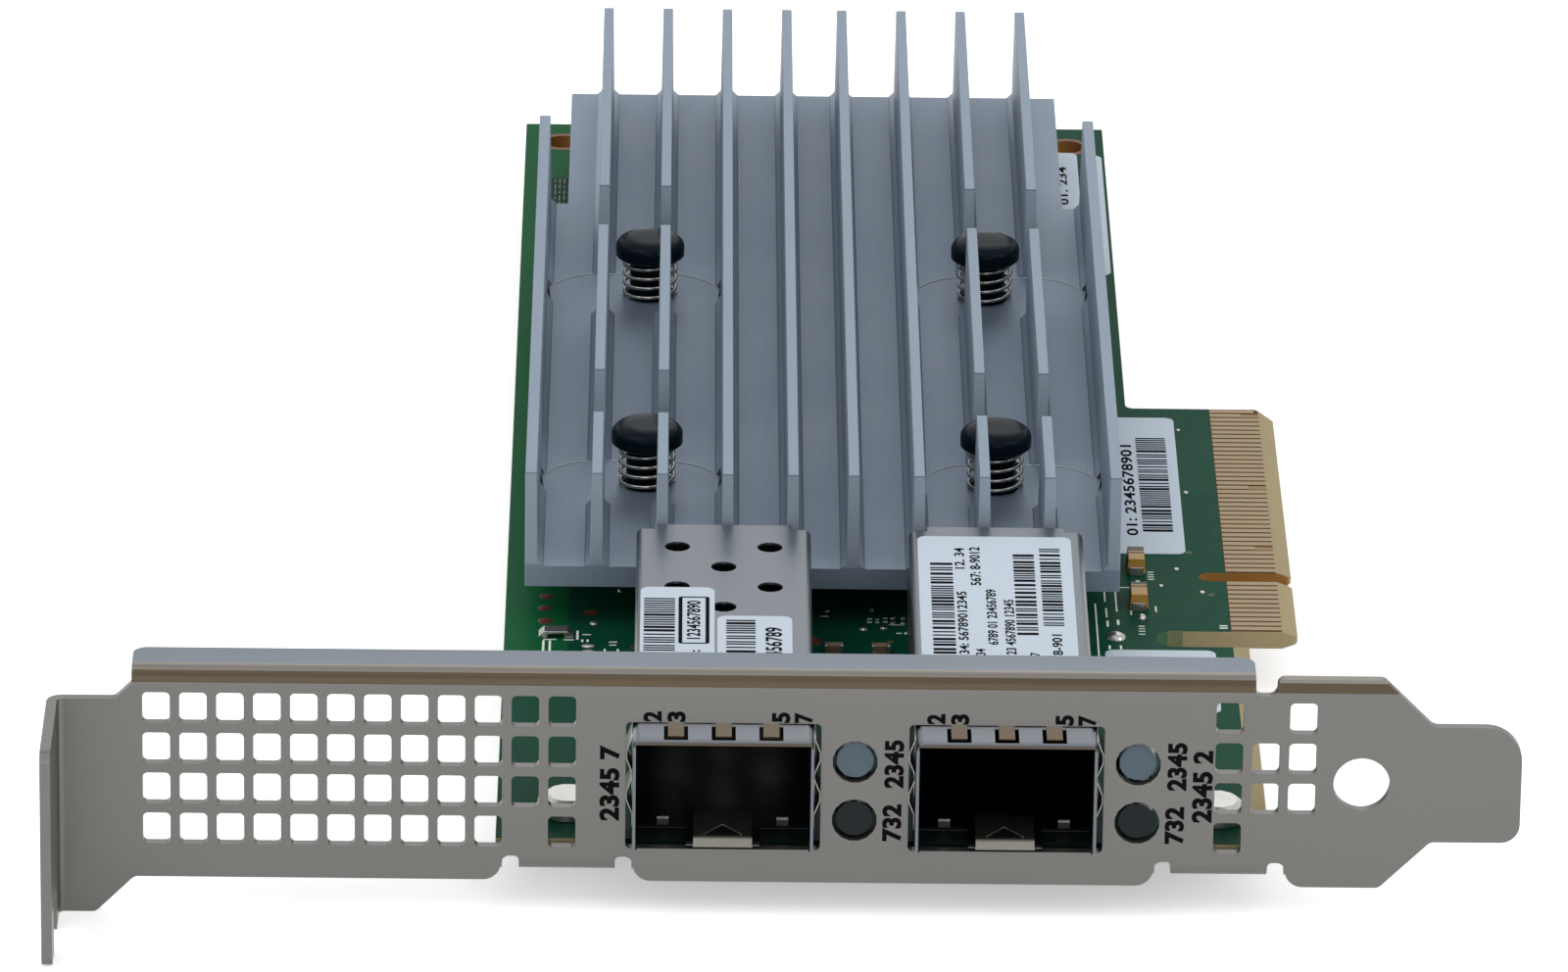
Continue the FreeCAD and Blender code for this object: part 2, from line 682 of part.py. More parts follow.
def spring_bow(rise, plane, across):
    """A bowed strip: its foot at the origin, its crest half way, its toe lying flat."""
    gauge = COLLAR_GAUGE
    crest = BOW_LENGTH / 2
    corners = [(0, 0, 0), (0, gauge, 0), (crest - 0.4, rise, 0), (crest + 0.4, rise, 0),
               (BOW_LENGTH, gauge, 0), (BOW_LENGTH, 0, 0),
               (crest + 0.35, rise - gauge, 0), (crest - 0.35, rise - gauge, 0)]
    return outline(corners, plane).extrude(across)


def leaning(sign):
    """A plane mapper for strips that run up a cage's side and bow away from it."""
    return lambda a, b: V(sign * b, 0, a)


def make_gasket(port_x):
    """A spring collar over the cage's roof and sides that fills the gap to the plate."""
    half = CAGE_WIDTH / 2
    gauge = COLLAR_GAUGE
    high = BOARD_TOP + CAGE_HEIGHT
    band = block(port_x - half - gauge, port_x + half + gauge, COLLAR_FRONT, COLLAR_REAR,
                 COLLAR_LOW, high + gauge)
    core = block(port_x - half, port_x + half, COLLAR_FRONT - 1, COLLAR_REAR + 1,
                 COLLAR_LOW - 1, high)
    pieces = [carved(band, [core])]
    for step in (-1.5, -0.5, 0.5, 1.5):
        bow = spring_bow(ROOF_BOW_RISE, side, V(BOW_WIDTH, 0, 0))
        bow.translate(V(port_x + step * CAGE_SLOT_SPREAD - BOW_WIDTH / 2, COLLAR_FRONT, high))
        pieces.append(bow)
    gap = PORT_CUTOUT[0] / 2 - half
    for sign in (-1, 1):
        for z in SIDE_BOW_LOW:
            bow = spring_bow(gap, leaning(sign), V(0, BOW_WIDTH + 1, 0))
            bow.translate(V(port_x + sign * half, COLLAR_FRONT - BOW_WIDTH, z))
            pieces.append(bow)
    tongue_w, tongue_l = COLLAR_TONGUE
    for step in (-1, 0, 1):
        x = port_x + step * CAGE_SLOT_SPREAD
        pieces.append(block(x - tongue_w / 2, x + tongue_w / 2, COLLAR_FRONT - tongue_l,
                            COLLAR_FRONT, high, high + gauge))
    return joined(pieces)


def make_connector(port_x):
    """The moulded host connector with its card slot, chamfered at the mouth."""
    y_front, y_rear = CONNECTOR_SPAN
    corners = [(y_front, CONNECTOR_LOW, 0), (y_rear, CONNECTOR_LOW, 0),
               (y_rear, CONNECTOR_HIGH, 0.4), (y_front + 1.2, CONNECTOR_HIGH, 0.4),
               (y_front, CONNECTOR_HIGH - 0.6, 0.3)]
    body = outline(corners, side)
    body.translate(V(port_x - CONNECTOR_HALF, 0, 0))
    body = body.extrude(V(2 * CONNECTOR_HALF, 0, 0))
    wall = 1.0
    slot = block(port_x - CONNECTOR_HALF + wall, port_x + CONNECTOR_HALF - wall,
                 y_front - 1, y_front + CARD_SLOT_DEPTH, *CARD_SLOT)
    channel = block(port_x - CONTACT_FIELD_HALF, port_x + CONTACT_FIELD_HALF,
                    y_front - 1, y_rear + 1, BOARD_TOP + 0.2, CARD_SLOT[0] + 0.2)
    body = carved(body, [slot, channel])
    feet = []
    for dx in (-CONNECTOR_FOOT_OFFSET, CONNECTOR_FOOT_OFFSET):
        feet.append(centred(port_x + dx, y_front + 4.0, 1.0, 2.4, BOARD_TOP, 1.0))
    return joined([body] + feet)


def make_connector_contacts(port_x):
    """Spring contacts under the card slot, each with its solder tail on the board."""
    y_front, y_rear = CONNECTOR_SPAN
    low, high = BOARD_TOP, CARD_SLOT[0]
    corners = [(y_rear + 0.9, low, 0), (y_rear + 0.9, low + 0.2, 0), (y_rear - 0.6, low + 0.2, 0),
               (y_rear - 2.0, high - 0.1, 0), (y_front + 1.2, high + 0.12, 0),
               (y_front + 1.2, high - 0.14, 0), (y_rear - 2.3, high - 0.4, 0), (y_rear - 0.8, low, 0)]
    contacts = []
    for step in range(SPRING_CONTACTS):
        x = port_x + (step - (SPRING_CONTACTS - 1) / 2) * SPRING_CONTACT_PITCH
        strip = outline(corners, side)
        strip.translate(V(x - SPRING_CONTACT_WIDTH / 2, 0, 0))
        contacts.append(strip.extrude(V(SPRING_CONTACT_WIDTH, 0, 0)))
    return group(contacts)


# ================================================================ lamps
def make_light_pipe(port_x):
    """A clear moulding that carries two lamps' light to the plate, one above the other."""
    x = port_x + LAMP_OFFSET
    pieces = []
    for height, reach in zip(LAMP_HEIGHTS, PIPE_REACH):
        z = PLATE_LOW_Z + height
        elbow = FACE_Y + reach
        pieces.append(facet_bar(x, z, PIPE_R, PIPE_FRONT, elbow - 1.5))
        corners = [(elbow - 1.9, PIPE_FOOT, 0), (elbow + 1.1, PIPE_FOOT, 0),
                   (elbow + 1.1, z - 1.0, 0), (elbow - 1.2, z + 1.4, 0), (elbow - 1.9, z + 1.4, 0)]
        leg = outline(corners, side)
        leg.translate(V(x - PIPE_WIDTH / 2, 0, 0))
        pieces.append(leg.extrude(V(PIPE_WIDTH, 0, 0)))
    lower, upper = PLATE_LOW_Z + LAMP_HEIGHTS[1], PLATE_LOW_Z + LAMP_HEIGHTS[0]
    pieces.append(block(x - 0.5, x + 0.5, PIPE_WEB_Y, FACE_Y + PIPE_REACH[0] - 2, lower, upper))
    pieces.append(centred(x, PIPE_WEB_Y, 1.0, 1.0, BOARD_TOP, lower - BOARD_TOP))
    return joined(pieces)


def make_status_leds():
    """The surface-mounted lamps under the feet of the light pipes."""
    width, depth, height = LED_SIZE
    lamps = []
    for port_x in PORT_X.values():
        for reach in PIPE_REACH:
            y = FACE_Y + reach - 0.4
            lamps.append(centred(port_x + LAMP_OFFSET, y, width, depth, BOARD_TOP, height))
    return group(lamps)


# ================================================================ heatsink
def fin_offsets():
    """Fin centres, from the middle of the heatsink outwards on both sides."""
    half = [FIN_INNER_OFFSET + FIN_PITCH * index for index in range(5)]
    return sorted([-x for x in half] + half)


def sink_section():
    """The extrusion's section: a base with ten tapered fins on thickened roots."""
    base_top = SINK_BOTTOM + SINK_BASE
    offsets = fin_offsets()
    corners = [(-SINK_HALF, SINK_BOTTOM, 0), (SINK_HALF, SINK_BOTTOM, 0)]
    for index, offset in enumerate(reversed(offsets)):
        outer_fin = index == 0
        if not outer_fin:
            corners.append((offset + FIN_ROOT / 2 + FIN_ROOT_BEVEL, base_top, 0))
            corners.append((offset + FIN_ROOT / 2, base_top + FIN_ROOT_BEVEL, 0))
        corners.append((offset + (FIN_ROOT if outer_fin else FIN_TIP) / 2, FIN_TOP, 0))
        last = index == len(offsets) - 1
        corners.append((offset - (FIN_ROOT if last else FIN_TIP) / 2, FIN_TOP, 0))
        if not last:
            corners.append((offset - FIN_ROOT / 2, base_top + FIN_ROOT_BEVEL, 0))
            corners.append((offset - FIN_ROOT / 2 - FIN_ROOT_BEVEL, base_top, 0))
    section = []
    for a, b, radius in corners:
        edge = max(-SINK_HALF, min(SINK_HALF, a))
        section.append((SINK_X + edge, b, radius))
    return section


def stadium(x_low, x_high, y, radius, z_low, z_high):
    """The path of an end mill along X."""
    ends = [facet_post(x, y, radius, z_low, z_high, 24) for x in (x_low, x_high)]
    run = block(x_low, x_high, y - radius, y + radius, z_low, z_high)
    return joined(ends + [run])


def make_heatsink():
    """The extrusion cut to its stepped plan, with milled pockets and pin holes."""
    body = outline(sink_section(), upright)
    body.translate(V(0, SINK_FRONT, 0))
    body = body.extrude(V(0, SINK_REAR - SINK_FRONT, 0))
    tools = []
    for sign in (-1, 1):
        near, far = sorted((SINK_X + sign * SINK_NARROW_HALF, SINK_X + sign * (SINK_HALF + 1)))
        tools.append(block(near, far, SINK_SHOULDER, SINK_REAR + 1, SINK_BOTTOM - 1, FIN_TOP + 1))
    floor = SINK_BOTTOM + SINK_BASE - MILL_SINK
    offsets = fin_offsets()
    for x, y in pin_places().values():
        cut = offsets[1:3] if x < SINK_X else offsets[7:9]
        tools.append(stadium(SINK_X + cut[0], SINK_X + cut[1], y, MILL_R, floor, FIN_TOP + 1))
        tools.append(facet_post(x, y, SINK_PIN_R, SINK_BOTTOM - 1, FIN_TOP))
    body = carved(body, tools)
    foot = BOARD_TOP + SUBSTRATE[1] + LID[1] + PAD[1]
    pedestal = centred(SINK_X, CHIP_Y, PEDESTAL_SIDE, PEDESTAL_SIDE, foot, SINK_BOTTOM - foot)
    return joined([body, pedestal])


def make_push_pin(x, y):
    """A nylon push pin: bevelled cap, shaft and a barb that snaps under the board."""
    profile = [
        (PIN_TIP_R, PIN_TIP_Z), (PIN_BARB_R, BOARD_BOTTOM), (PIN_SHAFT_R, BOARD_BOTTOM),
        (PIN_SHAFT_R, PIN_CAP_BASE), (PIN_CAP_R, PIN_CAP_BASE), (PIN_CAP_R, PIN_CAP_RIM),
        (PIN_CAP_CROWN_R, PIN_CAP_TOP),
    ]
    return facet_turned(profile, x, y, 20)


def make_spring(x, y):
    """The compression spring between the heatsink's pocket and the pin's cap."""
    floor = SINK_BOTTOM + SINK_BASE - MILL_SINK
    low = floor + SPRING_WIRE
    height = PIN_CAP_BASE - SPRING_WIRE - low
    steps = SPRING_TURNS * SPRING_SIDES
    corners = ((SPRING_WIRE, 0), (0, SPRING_WIRE), (-SPRING_WIRE, 0), (0, -SPRING_WIRE), (SPRING_WIRE, 0))
    sections = []
    for step in range(steps + 1):
        turn = 360 * step / SPRING_SIDES
        wire = Part.makePolygon([V(SPRING_R + dr, 0, dz) for dr, dz in corners])
        wire.rotate(V(0, 0, 0), V(0, 0, 1), turn)
        wire.translate(V(x, y, low + height * step / steps))
        sections.append(wire)
    return Part.makeLoft(sections, True, True)


# ================================================================ components
def chip_package(x, y, size, lead_count):
    """A moulded package with a row of leads on each of two sides."""
    width, depth, height = size
    lead_l, lead_w, lead_h = LEAD_SIZE
    pieces = [centred(x, y, width, depth, BOARD_TOP + 0.1, height)]
    for index in range(lead_count):
        middle = y + (index - (lead_count - 1) / 2) * LEAD_PITCH
        for sign in (-1, 1):
            reach = (width + lead_l) / 2
            pieces.append(centred(x + sign * reach, middle, lead_l, lead_w, BOARD_TOP, lead_h))
    return joined(pieces)


def make_substrate():
    """The controller's laminate carrier, soldered to the board."""
    return centred(SINK_X, CHIP_Y, SUBSTRATE[0], SUBSTRATE[0], BOARD_TOP, SUBSTRATE[1])


def make_lid():
    """The controller's metal lid with bevelled upper edges."""
    low = BOARD_TOP + SUBSTRATE[1]
    lid = centred(SINK_X, CHIP_Y, LID[0], LID[0], low, LID[1])
    upper = [edge for edge in lid.Edges if edge.BoundBox.ZMin > low + LID[1] - 0.01]
    return lid.makeChamfer(LID_BEVEL, upper)


def make_thermal_pad():
    """The soft pad between the lid and the heatsink's pedestal."""
    low = BOARD_TOP + SUBSTRATE[1] + LID[1]
    return centred(SINK_X, CHIP_Y, PAD[0], PAD[0], low, PAD[1])


def power_parts(y, width, height):
    """One part of the power supply, repeated for its two phases."""
    return group([centred(x, y, width, width, BOARD_TOP, height) for x in POWER_X])


def make_oscillator():
    """The reference clock in its metal can."""
    width, depth, height = OSCILLATOR_SIZE
    return centred(*OSCILLATOR_AT, width, depth, BOARD_TOP, height)


def make_tantalums():
    """Moulded capacitor bodies beside the heatsink, with drafted sides."""
    bodies = []
    for x, y in TANTALUM_AT:
        foot, top = TANTALUM_HALF
        corners = [(x - foot, TANTALUM_LOW, 0), (x + foot, TANTALUM_LOW, 0),
                   (x + top, TANTALUM_LOW + TANTALUM_HEIGHT, 0),
                   (x - top, TANTALUM_LOW + TANTALUM_HEIGHT, 0)]
        body = outline(corners, upright)
        body.translate(V(0, y - TANTALUM_LENGTH / 2, 0))
        bodies.append(body.extrude(V(0, TANTALUM_LENGTH, 0)))
    return group(bodies)


def make_tantalum_terminals():
    """Folded end terminals of the moulded capacitors: a foot below and a riser outside."""
    ends = []
    half = TANTALUM_LENGTH / 2
    for x, y in TANTALUM_AT:
        for sign in (-1, 1):
            corners = [(half - 0.5, BOARD_TOP, 0), (half + TERMINAL_GAUGE, BOARD_TOP, 0),
                       (half + TERMINAL_GAUGE, BOARD_TOP + 0.8, 0), (half, BOARD_TOP + 0.8, 0),
                       (half, TANTALUM_LOW, 0), (half - 0.5, TANTALUM_LOW, 0)]
            strap = outline([(y + sign * a, b, 0) for a, b, _ in corners], side)
            strap.translate(V(x - TERMINAL_WIDTH / 2, 0, 0))
            ends.append(strap.extrude(V(TERMINAL_WIDTH, 0, 0)))
    return group(ends)


def capacitor_places():
    """Ceramic capacitors (x, y, along Y): round the controller and in front of the heatsink."""
    places = list(FRONT_CAPACITORS)
    for shift in (-CHIP_RING_STEP, 0.0, CHIP_RING_STEP):
        for sign in (-1, 1):
            places.append((SINK_X + shift, CHIP_Y + sign * CHIP_RING, False))
            places.append((SINK_X + sign * CHIP_RING, CHIP_Y + shift, True))
    return places


def make_capacitors():
    """The ceramic bodies, between their plated ends."""
    along, across, height = CHIP_CAPACITOR
    bodies = []
    for x, y, turned in capacitor_places():
        width, depth = (across, along) if turned else (along, across)
        bodies.append(centred(x, y, width, depth, BOARD_TOP, height))
    return group(bodies)


def make_capacitor_ends():
    """The plated ends of the ceramic capacitors."""
    along, across, height = CHIP_CAPACITOR_END
    reach = (CHIP_CAPACITOR[0] + along) / 2
    ends = []
    for x, y, turned in capacitor_places():
        width, depth = (across, along) if turned else (along, across)
        for step in (-reach, reach):
            dx, dy = (0, step) if turned else (step, 0)
            ends.append(centred(x + dx, y + dy, width, depth, BOARD_TOP, height))
    return group(ends)


def make_shunt():
    """A flat metal shunt at the board's left: two feet and a raised span."""
    low, high = SHUNT_X
    corners = [(low, BOARD_TOP, 0), (low + 0.7, BOARD_TOP, 0), (low + 0.9, BOARD_TOP + 0.4, 0),
               (high - 0.9, BOARD_TOP + 0.4, 0), (high - 0.7, BOARD_TOP, 0), (high, BOARD_TOP, 0),
               (high, BOARD_TOP + 0.2, 0), (high - 0.5, BOARD_TOP + 0.65, 0),
               (low + 0.5, BOARD_TOP + 0.65, 0), (low, BOARD_TOP + 0.2, 0)]
    strap = outline(corners, upright)
    strap.translate(V(0, SHUNT_Y[0], 0))
    return strap.extrude(V(0, SHUNT_Y[1] - SHUNT_Y[0], 0))


# ================================================================ labels
def make_labels():
    """Every label, named by where it sticks."""
    labels = {}
    for name, limits in BOARD_LABELS.items():
        labels[name] = block(*limits, BOARD_TOP, BOARD_TOP + LABEL_THICK)
    roof = BOARD_TOP + CAGE_HEIGHT
    for name, (port, left, right, y_low, y_high) in CAGE_LABELS.items():
        x = PORT_X[port]
        labels[name] = block(x + left, x + right, y_low, y_high, roof, roof + LABEL_THICK)
    return labels


# ================================================================ assembly
def all_nodes():
    """Every separate piece of the card, by name."""
    nodes = {
        "circuit_board": make_board(),
        "contacts_component_side": make_contacts(BOARD_TOP, SHORT_COMPONENT_SIDE),
        "contacts_solder_side": make_contacts(BOARD_BOTTOM - CONTACT_THICK, SHORT_SOLDER_SIDE),
        "bracket": make_bracket(),
        "bracket_screws": make_ear_screws(),
        "heatsink": make_heatsink(),
        "controller_substrate": make_substrate(),
        "controller_lid": make_lid(),
        "thermal_pad": make_thermal_pad(),
        "status_leds": make_status_leds(),
        "power_inductors": power_parts(*INDUCTOR),
        "voltage_regulators": power_parts(*REGULATOR),
        "flash_memory": chip_package(*FLASH_AT, FLASH_SIZE, FLASH_LEADS),
        "clock_oscillator": make_oscillator(),
        "tantalum_capacitors": make_tantalums(),
        "tantalum_terminals": make_tantalum_terminals(),
        "ceramic_capacitors": make_capacitors(),
        "ceramic_capacitor_ends": make_capacitor_ends(),
        "current_shunt": make_shunt(),
    }
    for port, port_x in PORT_X.items():
        nodes["cage_" + port] = make_cage(port_x)
        nodes["spring_gasket_" + port] = make_gasket(port_x)
        nodes["connector_" + port] = make_connector(port_x)
        nodes["connector_contacts_" + port] = make_connector_contacts(port_x)
        nodes["light_pipe_" + port] = make_light_pipe(port_x)
    for corner, (x, y) in pin_places().items():
        nodes["push_pin_" + corner] = make_push_pin(x, y)
        nodes["pin_spring_" + corner] = make_spring(x, y)
    nodes.update(make_labels())
    return nodes


os.makedirs("parts", exist_ok=True)
for name, shape in all_nodes().items():
    shape.exportStep("parts/" + name + ".step")
    print(name, len(shape.Solids), "solids", round(shape.Volume, 2), "mm3", shape.isValid())
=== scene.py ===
"""Looks of a two-port network card: finishes, rounded edges, springs, print and plain numbers."""

import logging
import math
from collections.abc import Callable
from dataclasses import dataclass, field
from enum import Enum

import bmesh
import bpy
import numpy as np
from mathutils import Matrix, Vector


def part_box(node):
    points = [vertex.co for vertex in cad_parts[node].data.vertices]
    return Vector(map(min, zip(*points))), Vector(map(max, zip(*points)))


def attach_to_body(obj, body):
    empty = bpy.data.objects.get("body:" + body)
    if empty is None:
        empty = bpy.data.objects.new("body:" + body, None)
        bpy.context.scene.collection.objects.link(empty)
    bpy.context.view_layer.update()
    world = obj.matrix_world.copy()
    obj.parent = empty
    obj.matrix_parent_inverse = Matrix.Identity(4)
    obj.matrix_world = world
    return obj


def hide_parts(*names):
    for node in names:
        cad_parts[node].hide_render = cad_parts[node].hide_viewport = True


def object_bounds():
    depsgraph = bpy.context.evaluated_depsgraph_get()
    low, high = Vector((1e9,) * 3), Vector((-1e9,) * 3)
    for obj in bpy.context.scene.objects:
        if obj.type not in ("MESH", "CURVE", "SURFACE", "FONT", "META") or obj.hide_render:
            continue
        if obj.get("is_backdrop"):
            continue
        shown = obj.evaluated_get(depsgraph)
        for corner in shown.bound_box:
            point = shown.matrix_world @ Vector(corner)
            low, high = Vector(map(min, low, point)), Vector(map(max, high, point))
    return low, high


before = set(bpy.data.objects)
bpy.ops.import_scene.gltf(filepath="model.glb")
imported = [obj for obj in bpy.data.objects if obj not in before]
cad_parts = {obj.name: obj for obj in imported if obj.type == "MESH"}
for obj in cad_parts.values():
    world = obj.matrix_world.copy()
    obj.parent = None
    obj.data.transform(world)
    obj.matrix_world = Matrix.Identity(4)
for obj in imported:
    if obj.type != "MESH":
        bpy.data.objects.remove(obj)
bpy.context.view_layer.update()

log = logging.getLogger("network_card")

Colour = tuple[float, float, float]
Place = tuple[float, float, float]
Pair = tuple[float, float]
Stroke = tuple[float, float, float, float]
Bead = tuple[float, float, float, float, float]
Shape = tuple[np.ndarray, list]
Socket = bpy.types.NodeSocket
Sockets = bpy.types.bpy_prop_collection

ROOT = "root"
MM = 0.001
BOARD_TOP = 0.785 * MM
PLATE_FACE = -58.55 * MM
INK_DEPTH = 0.02 * MM
BUMP_DEPTH = 0.05 * MM
ROUGHNESS_SWING = 0.18
SHARP = math.radians(40)
TURN_STEPS = 48


# ---------------------------------------------------------------- node graphs
class Graph:
    """A small helper that places nodes in one tree and links them."""

    def __init__(self, tree: bpy.types.NodeTree) -> None:
        """Starts on the tree that receives the nodes."""
        self.tree = tree

    def feed(self, node: bpy.types.Node, inputs: dict) -> None:
        """Gives a node its inputs.

        Args:
            node: the node.
            inputs: socket name or index to a value, or to an output socket to link.
        """
        for key, value in inputs.items():
            if isinstance(value, Socket):
                self.tree.links.new(value, node.inputs[key])
            else:
                node.inputs[key].default_value = value

    def node(self, kind: str, inputs: dict | None = None, **settings) -> bpy.types.Node:
        """Adds one node.

        Args:
            kind: the node's type name, such as "ShaderNodeMath".
            inputs: what feed gives to its sockets.
            settings: properties set on the node itself.

        Returns:
            The new node.
        """
        made = self.tree.nodes.new(kind)
        for name, value in settings.items():
            setattr(made, name, value)
        self.feed(made, inputs or {})
        return made

    def math(self, operation: str, *values, clamp: bool = False) -> Socket:
        """Adds a Math node.

        Args:
            operation: the Math node's operation.
            values: numbers or sockets, in socket order.
            clamp: True to keep the result between 0 and 1.

        Returns:
            The output socket.
        """
        inputs = dict(enumerate(values))
        return self.node("ShaderNodeMath", inputs, operation=operation, use_clamp=clamp).outputs[0]

    def swing(self, value: Socket, gain, middle: float, clamp: bool = False) -> Socket:
        """Returns middle + gain (value - 0.5)."""
        swung = self.math("MULTIPLY", self.math("SUBTRACT", value, 0.5), gain)
        return self.math("ADD", swung, middle, clamp=clamp)

    def noise(self, place: Socket, scale, detail: float) -> Socket:
        """Adds a noise texture.

        Args:
            place: the coordinates.
            scale: how fine it is: a number or a socket.
            detail: how many finer layers it has.

        Returns:
            Its value's socket.
        """
        return self.node("ShaderNodeTexNoise", {"Vector": place, "Scale": scale, "Detail": detail}).outputs[0]

    def axes(self, vector: Socket) -> Sockets:
        """Splits a vector into the sockets of its three coordinates."""
        return self.node("ShaderNodeSeparateXYZ", {0: vector}).outputs

    def scaled(self, colour: Socket, gain: Socket) -> Socket:
        """Multiplies a colour by a gain."""
        return self.node("ShaderNodeVectorMath", {0: colour, "Scale": gain}, operation="SCALE").outputs[0]

    def mix(self, factor, first, second) -> Socket:
        """Mixes two colours.

        Args:
            factor: 0 gives the first colour and 1 the second.
            first: a colour or a socket.
            second: a colour or a socket.

        Returns:
            The colour output socket.
        """
        first, second = (value if isinstance(value, Socket) else (*value[:3], 1.0) for value in (first, second))
        return self.node("ShaderNodeMix", {0: factor, 6: first, 7: second}, data_type="RGBA").outputs[2]


class SharedGroups:
    """The node groups that several finishes use, each built once."""

    _made: dict[str, bpy.types.NodeTree] = {}

    @classmethod
    def use(cls, graph: Graph, name: str, inputs: dict) -> Sockets:
        """Places a group in a graph, and builds it the first time.

        Args:
            graph: where it goes.
            name: "mottle", "brushing" or "inside_box".
            inputs: what feed gives to its sockets.

        Returns:
            Its output sockets.
        """
        if name not in cls._made:
            cls._made[name] = getattr(cls, "_build_" + name)()
        return graph.node("ShaderNodeGroup", inputs, node_tree=cls._made[name]).outputs

    @staticmethod
    def _start(name: str, inputs: dict, outputs: dict) -> tuple[Graph, Sockets]:
        """Makes a group that takes coordinates, and declares its other sockets.

        Args:
            name: of the group.
            inputs: name to (kind of socket, default value).
            outputs: name to kind of socket.

        Returns:
            A graph on the group, and what the group is given.
        """
        tree = bpy.data.node_groups.new(name, "ShaderNodeTree")
        tree.interface.new_socket("Vector", in_out="INPUT", socket_type="NodeSocketVector")
        for label, (kind, default) in inputs.items():
            socket = tree.interface.new_socket(label, in_out="INPUT", socket_type="NodeSocket" + kind)
            socket.default_value = default
        for label, kind in outputs.items():
            tree.interface.new_socket(label, in_out="OUTPUT", socket_type="NodeSocket" + kind)
        graph = Graph(tree)
        return graph, graph.node("NodeGroupInput").outputs

    @classmethod
    def _build_mottle(cls) -> bpy.types.NodeTree:
        """Soft cloudy variation of a colour, with a fine grain for the surface's height."""
        graph, given = cls._start(
            "mottle",
            {"Color": ("Color", (0.5, 0.5, 0.5, 1)), "Contrast": ("Float", 0.1), "Cloud Scale": ("Float", 120.0),
             "Grain Scale": ("Float", 3000.0)},
            {"Color": "Color", "Mask": "Float", "Height": "Float"})
        cloud_share, cloud_detail, grain_detail = 0.65, 4.0, 2.0
        cloud = graph.noise(given["Vector"], given["Cloud Scale"], cloud_detail)
        grain = graph.noise(given["Vector"], given["Grain Scale"], grain_detail)
        both = graph.math("ADD", graph.math("MULTIPLY", cloud, cloud_share),
                          graph.math("MULTIPLY", grain, 1.0 - cloud_share))
        gain = graph.swing(both, graph.math("MULTIPLY", given["Contrast"], 2.0), 1.0)
        colour = graph.scaled(given["Color"], gain)
        graph.node("NodeGroupOutput", {"Color": colour, "Mask": cloud, "Height": grain})
        return graph.tree

    @classmethod
    def _build_brushing(cls) -> bpy.types.NodeTree:
        """Fine parallel streaks: noise squeezed along one axis."""
        graph, given = cls._start(
            "brushing", {"Stretch": ("Vector", (1.0, 0.02, 1.0)), "Scale": ("Float", 4000.0)}, {"Streak": "Float"})
        squeezed = graph.node("ShaderNodeVectorMath", {0: given["Vector"], 1: given["Stretch"]},
                              operation="MULTIPLY").outputs[0]
        streak_detail = 3.0
        graph.node("NodeGroupOutput", {"Streak": graph.noise(squeezed, given["Scale"], streak_detail)})
        return graph.tree

    @classmethod
    def _build_inside_box(cls) -> bpy.types.NodeTree:
        """A mask of 1 inside a box in the piece's own coordinates: the product of six comparisons."""
        graph, given = cls._start(
            "inside_box", {"Low": ("Vector", (0, 0, 0)), "High": ("Vector", (1, 1, 1))}, {"Mask": "Float"})
        place, low, high = (graph.axes(given[name]) for name in ("Vector", "Low", "High"))
        inside = 1.0
        for axis in range(3):
            over = graph.math("GREATER_THAN", place[axis], low[axis])
            under = graph.math("LESS_THAN", place[axis], high[axis])
            inside = graph.math("MULTIPLY", graph.math("MULTIPLY", over, under), inside)
        graph.node("NodeGroupOutput", {"Mask": inside})
        return graph.tree


# ---------------------------------------------------------------- finishes
@dataclass(frozen=True)
class Zone:
    """A box in which a finish takes another colour, given by two corners in metres."""

    low: Place
    high: Place
    colour: Colour


def zone_mm(x: Pair, y: Pair, z: Pair, colour: Colour) -> Zone:
    """Makes a zone from its spans along X, Y and Z in millimetres."""
    low, high = zip(*((first * MM, last * MM) for first, last in (x, y, z)))
    return Zone(low, high, colour)


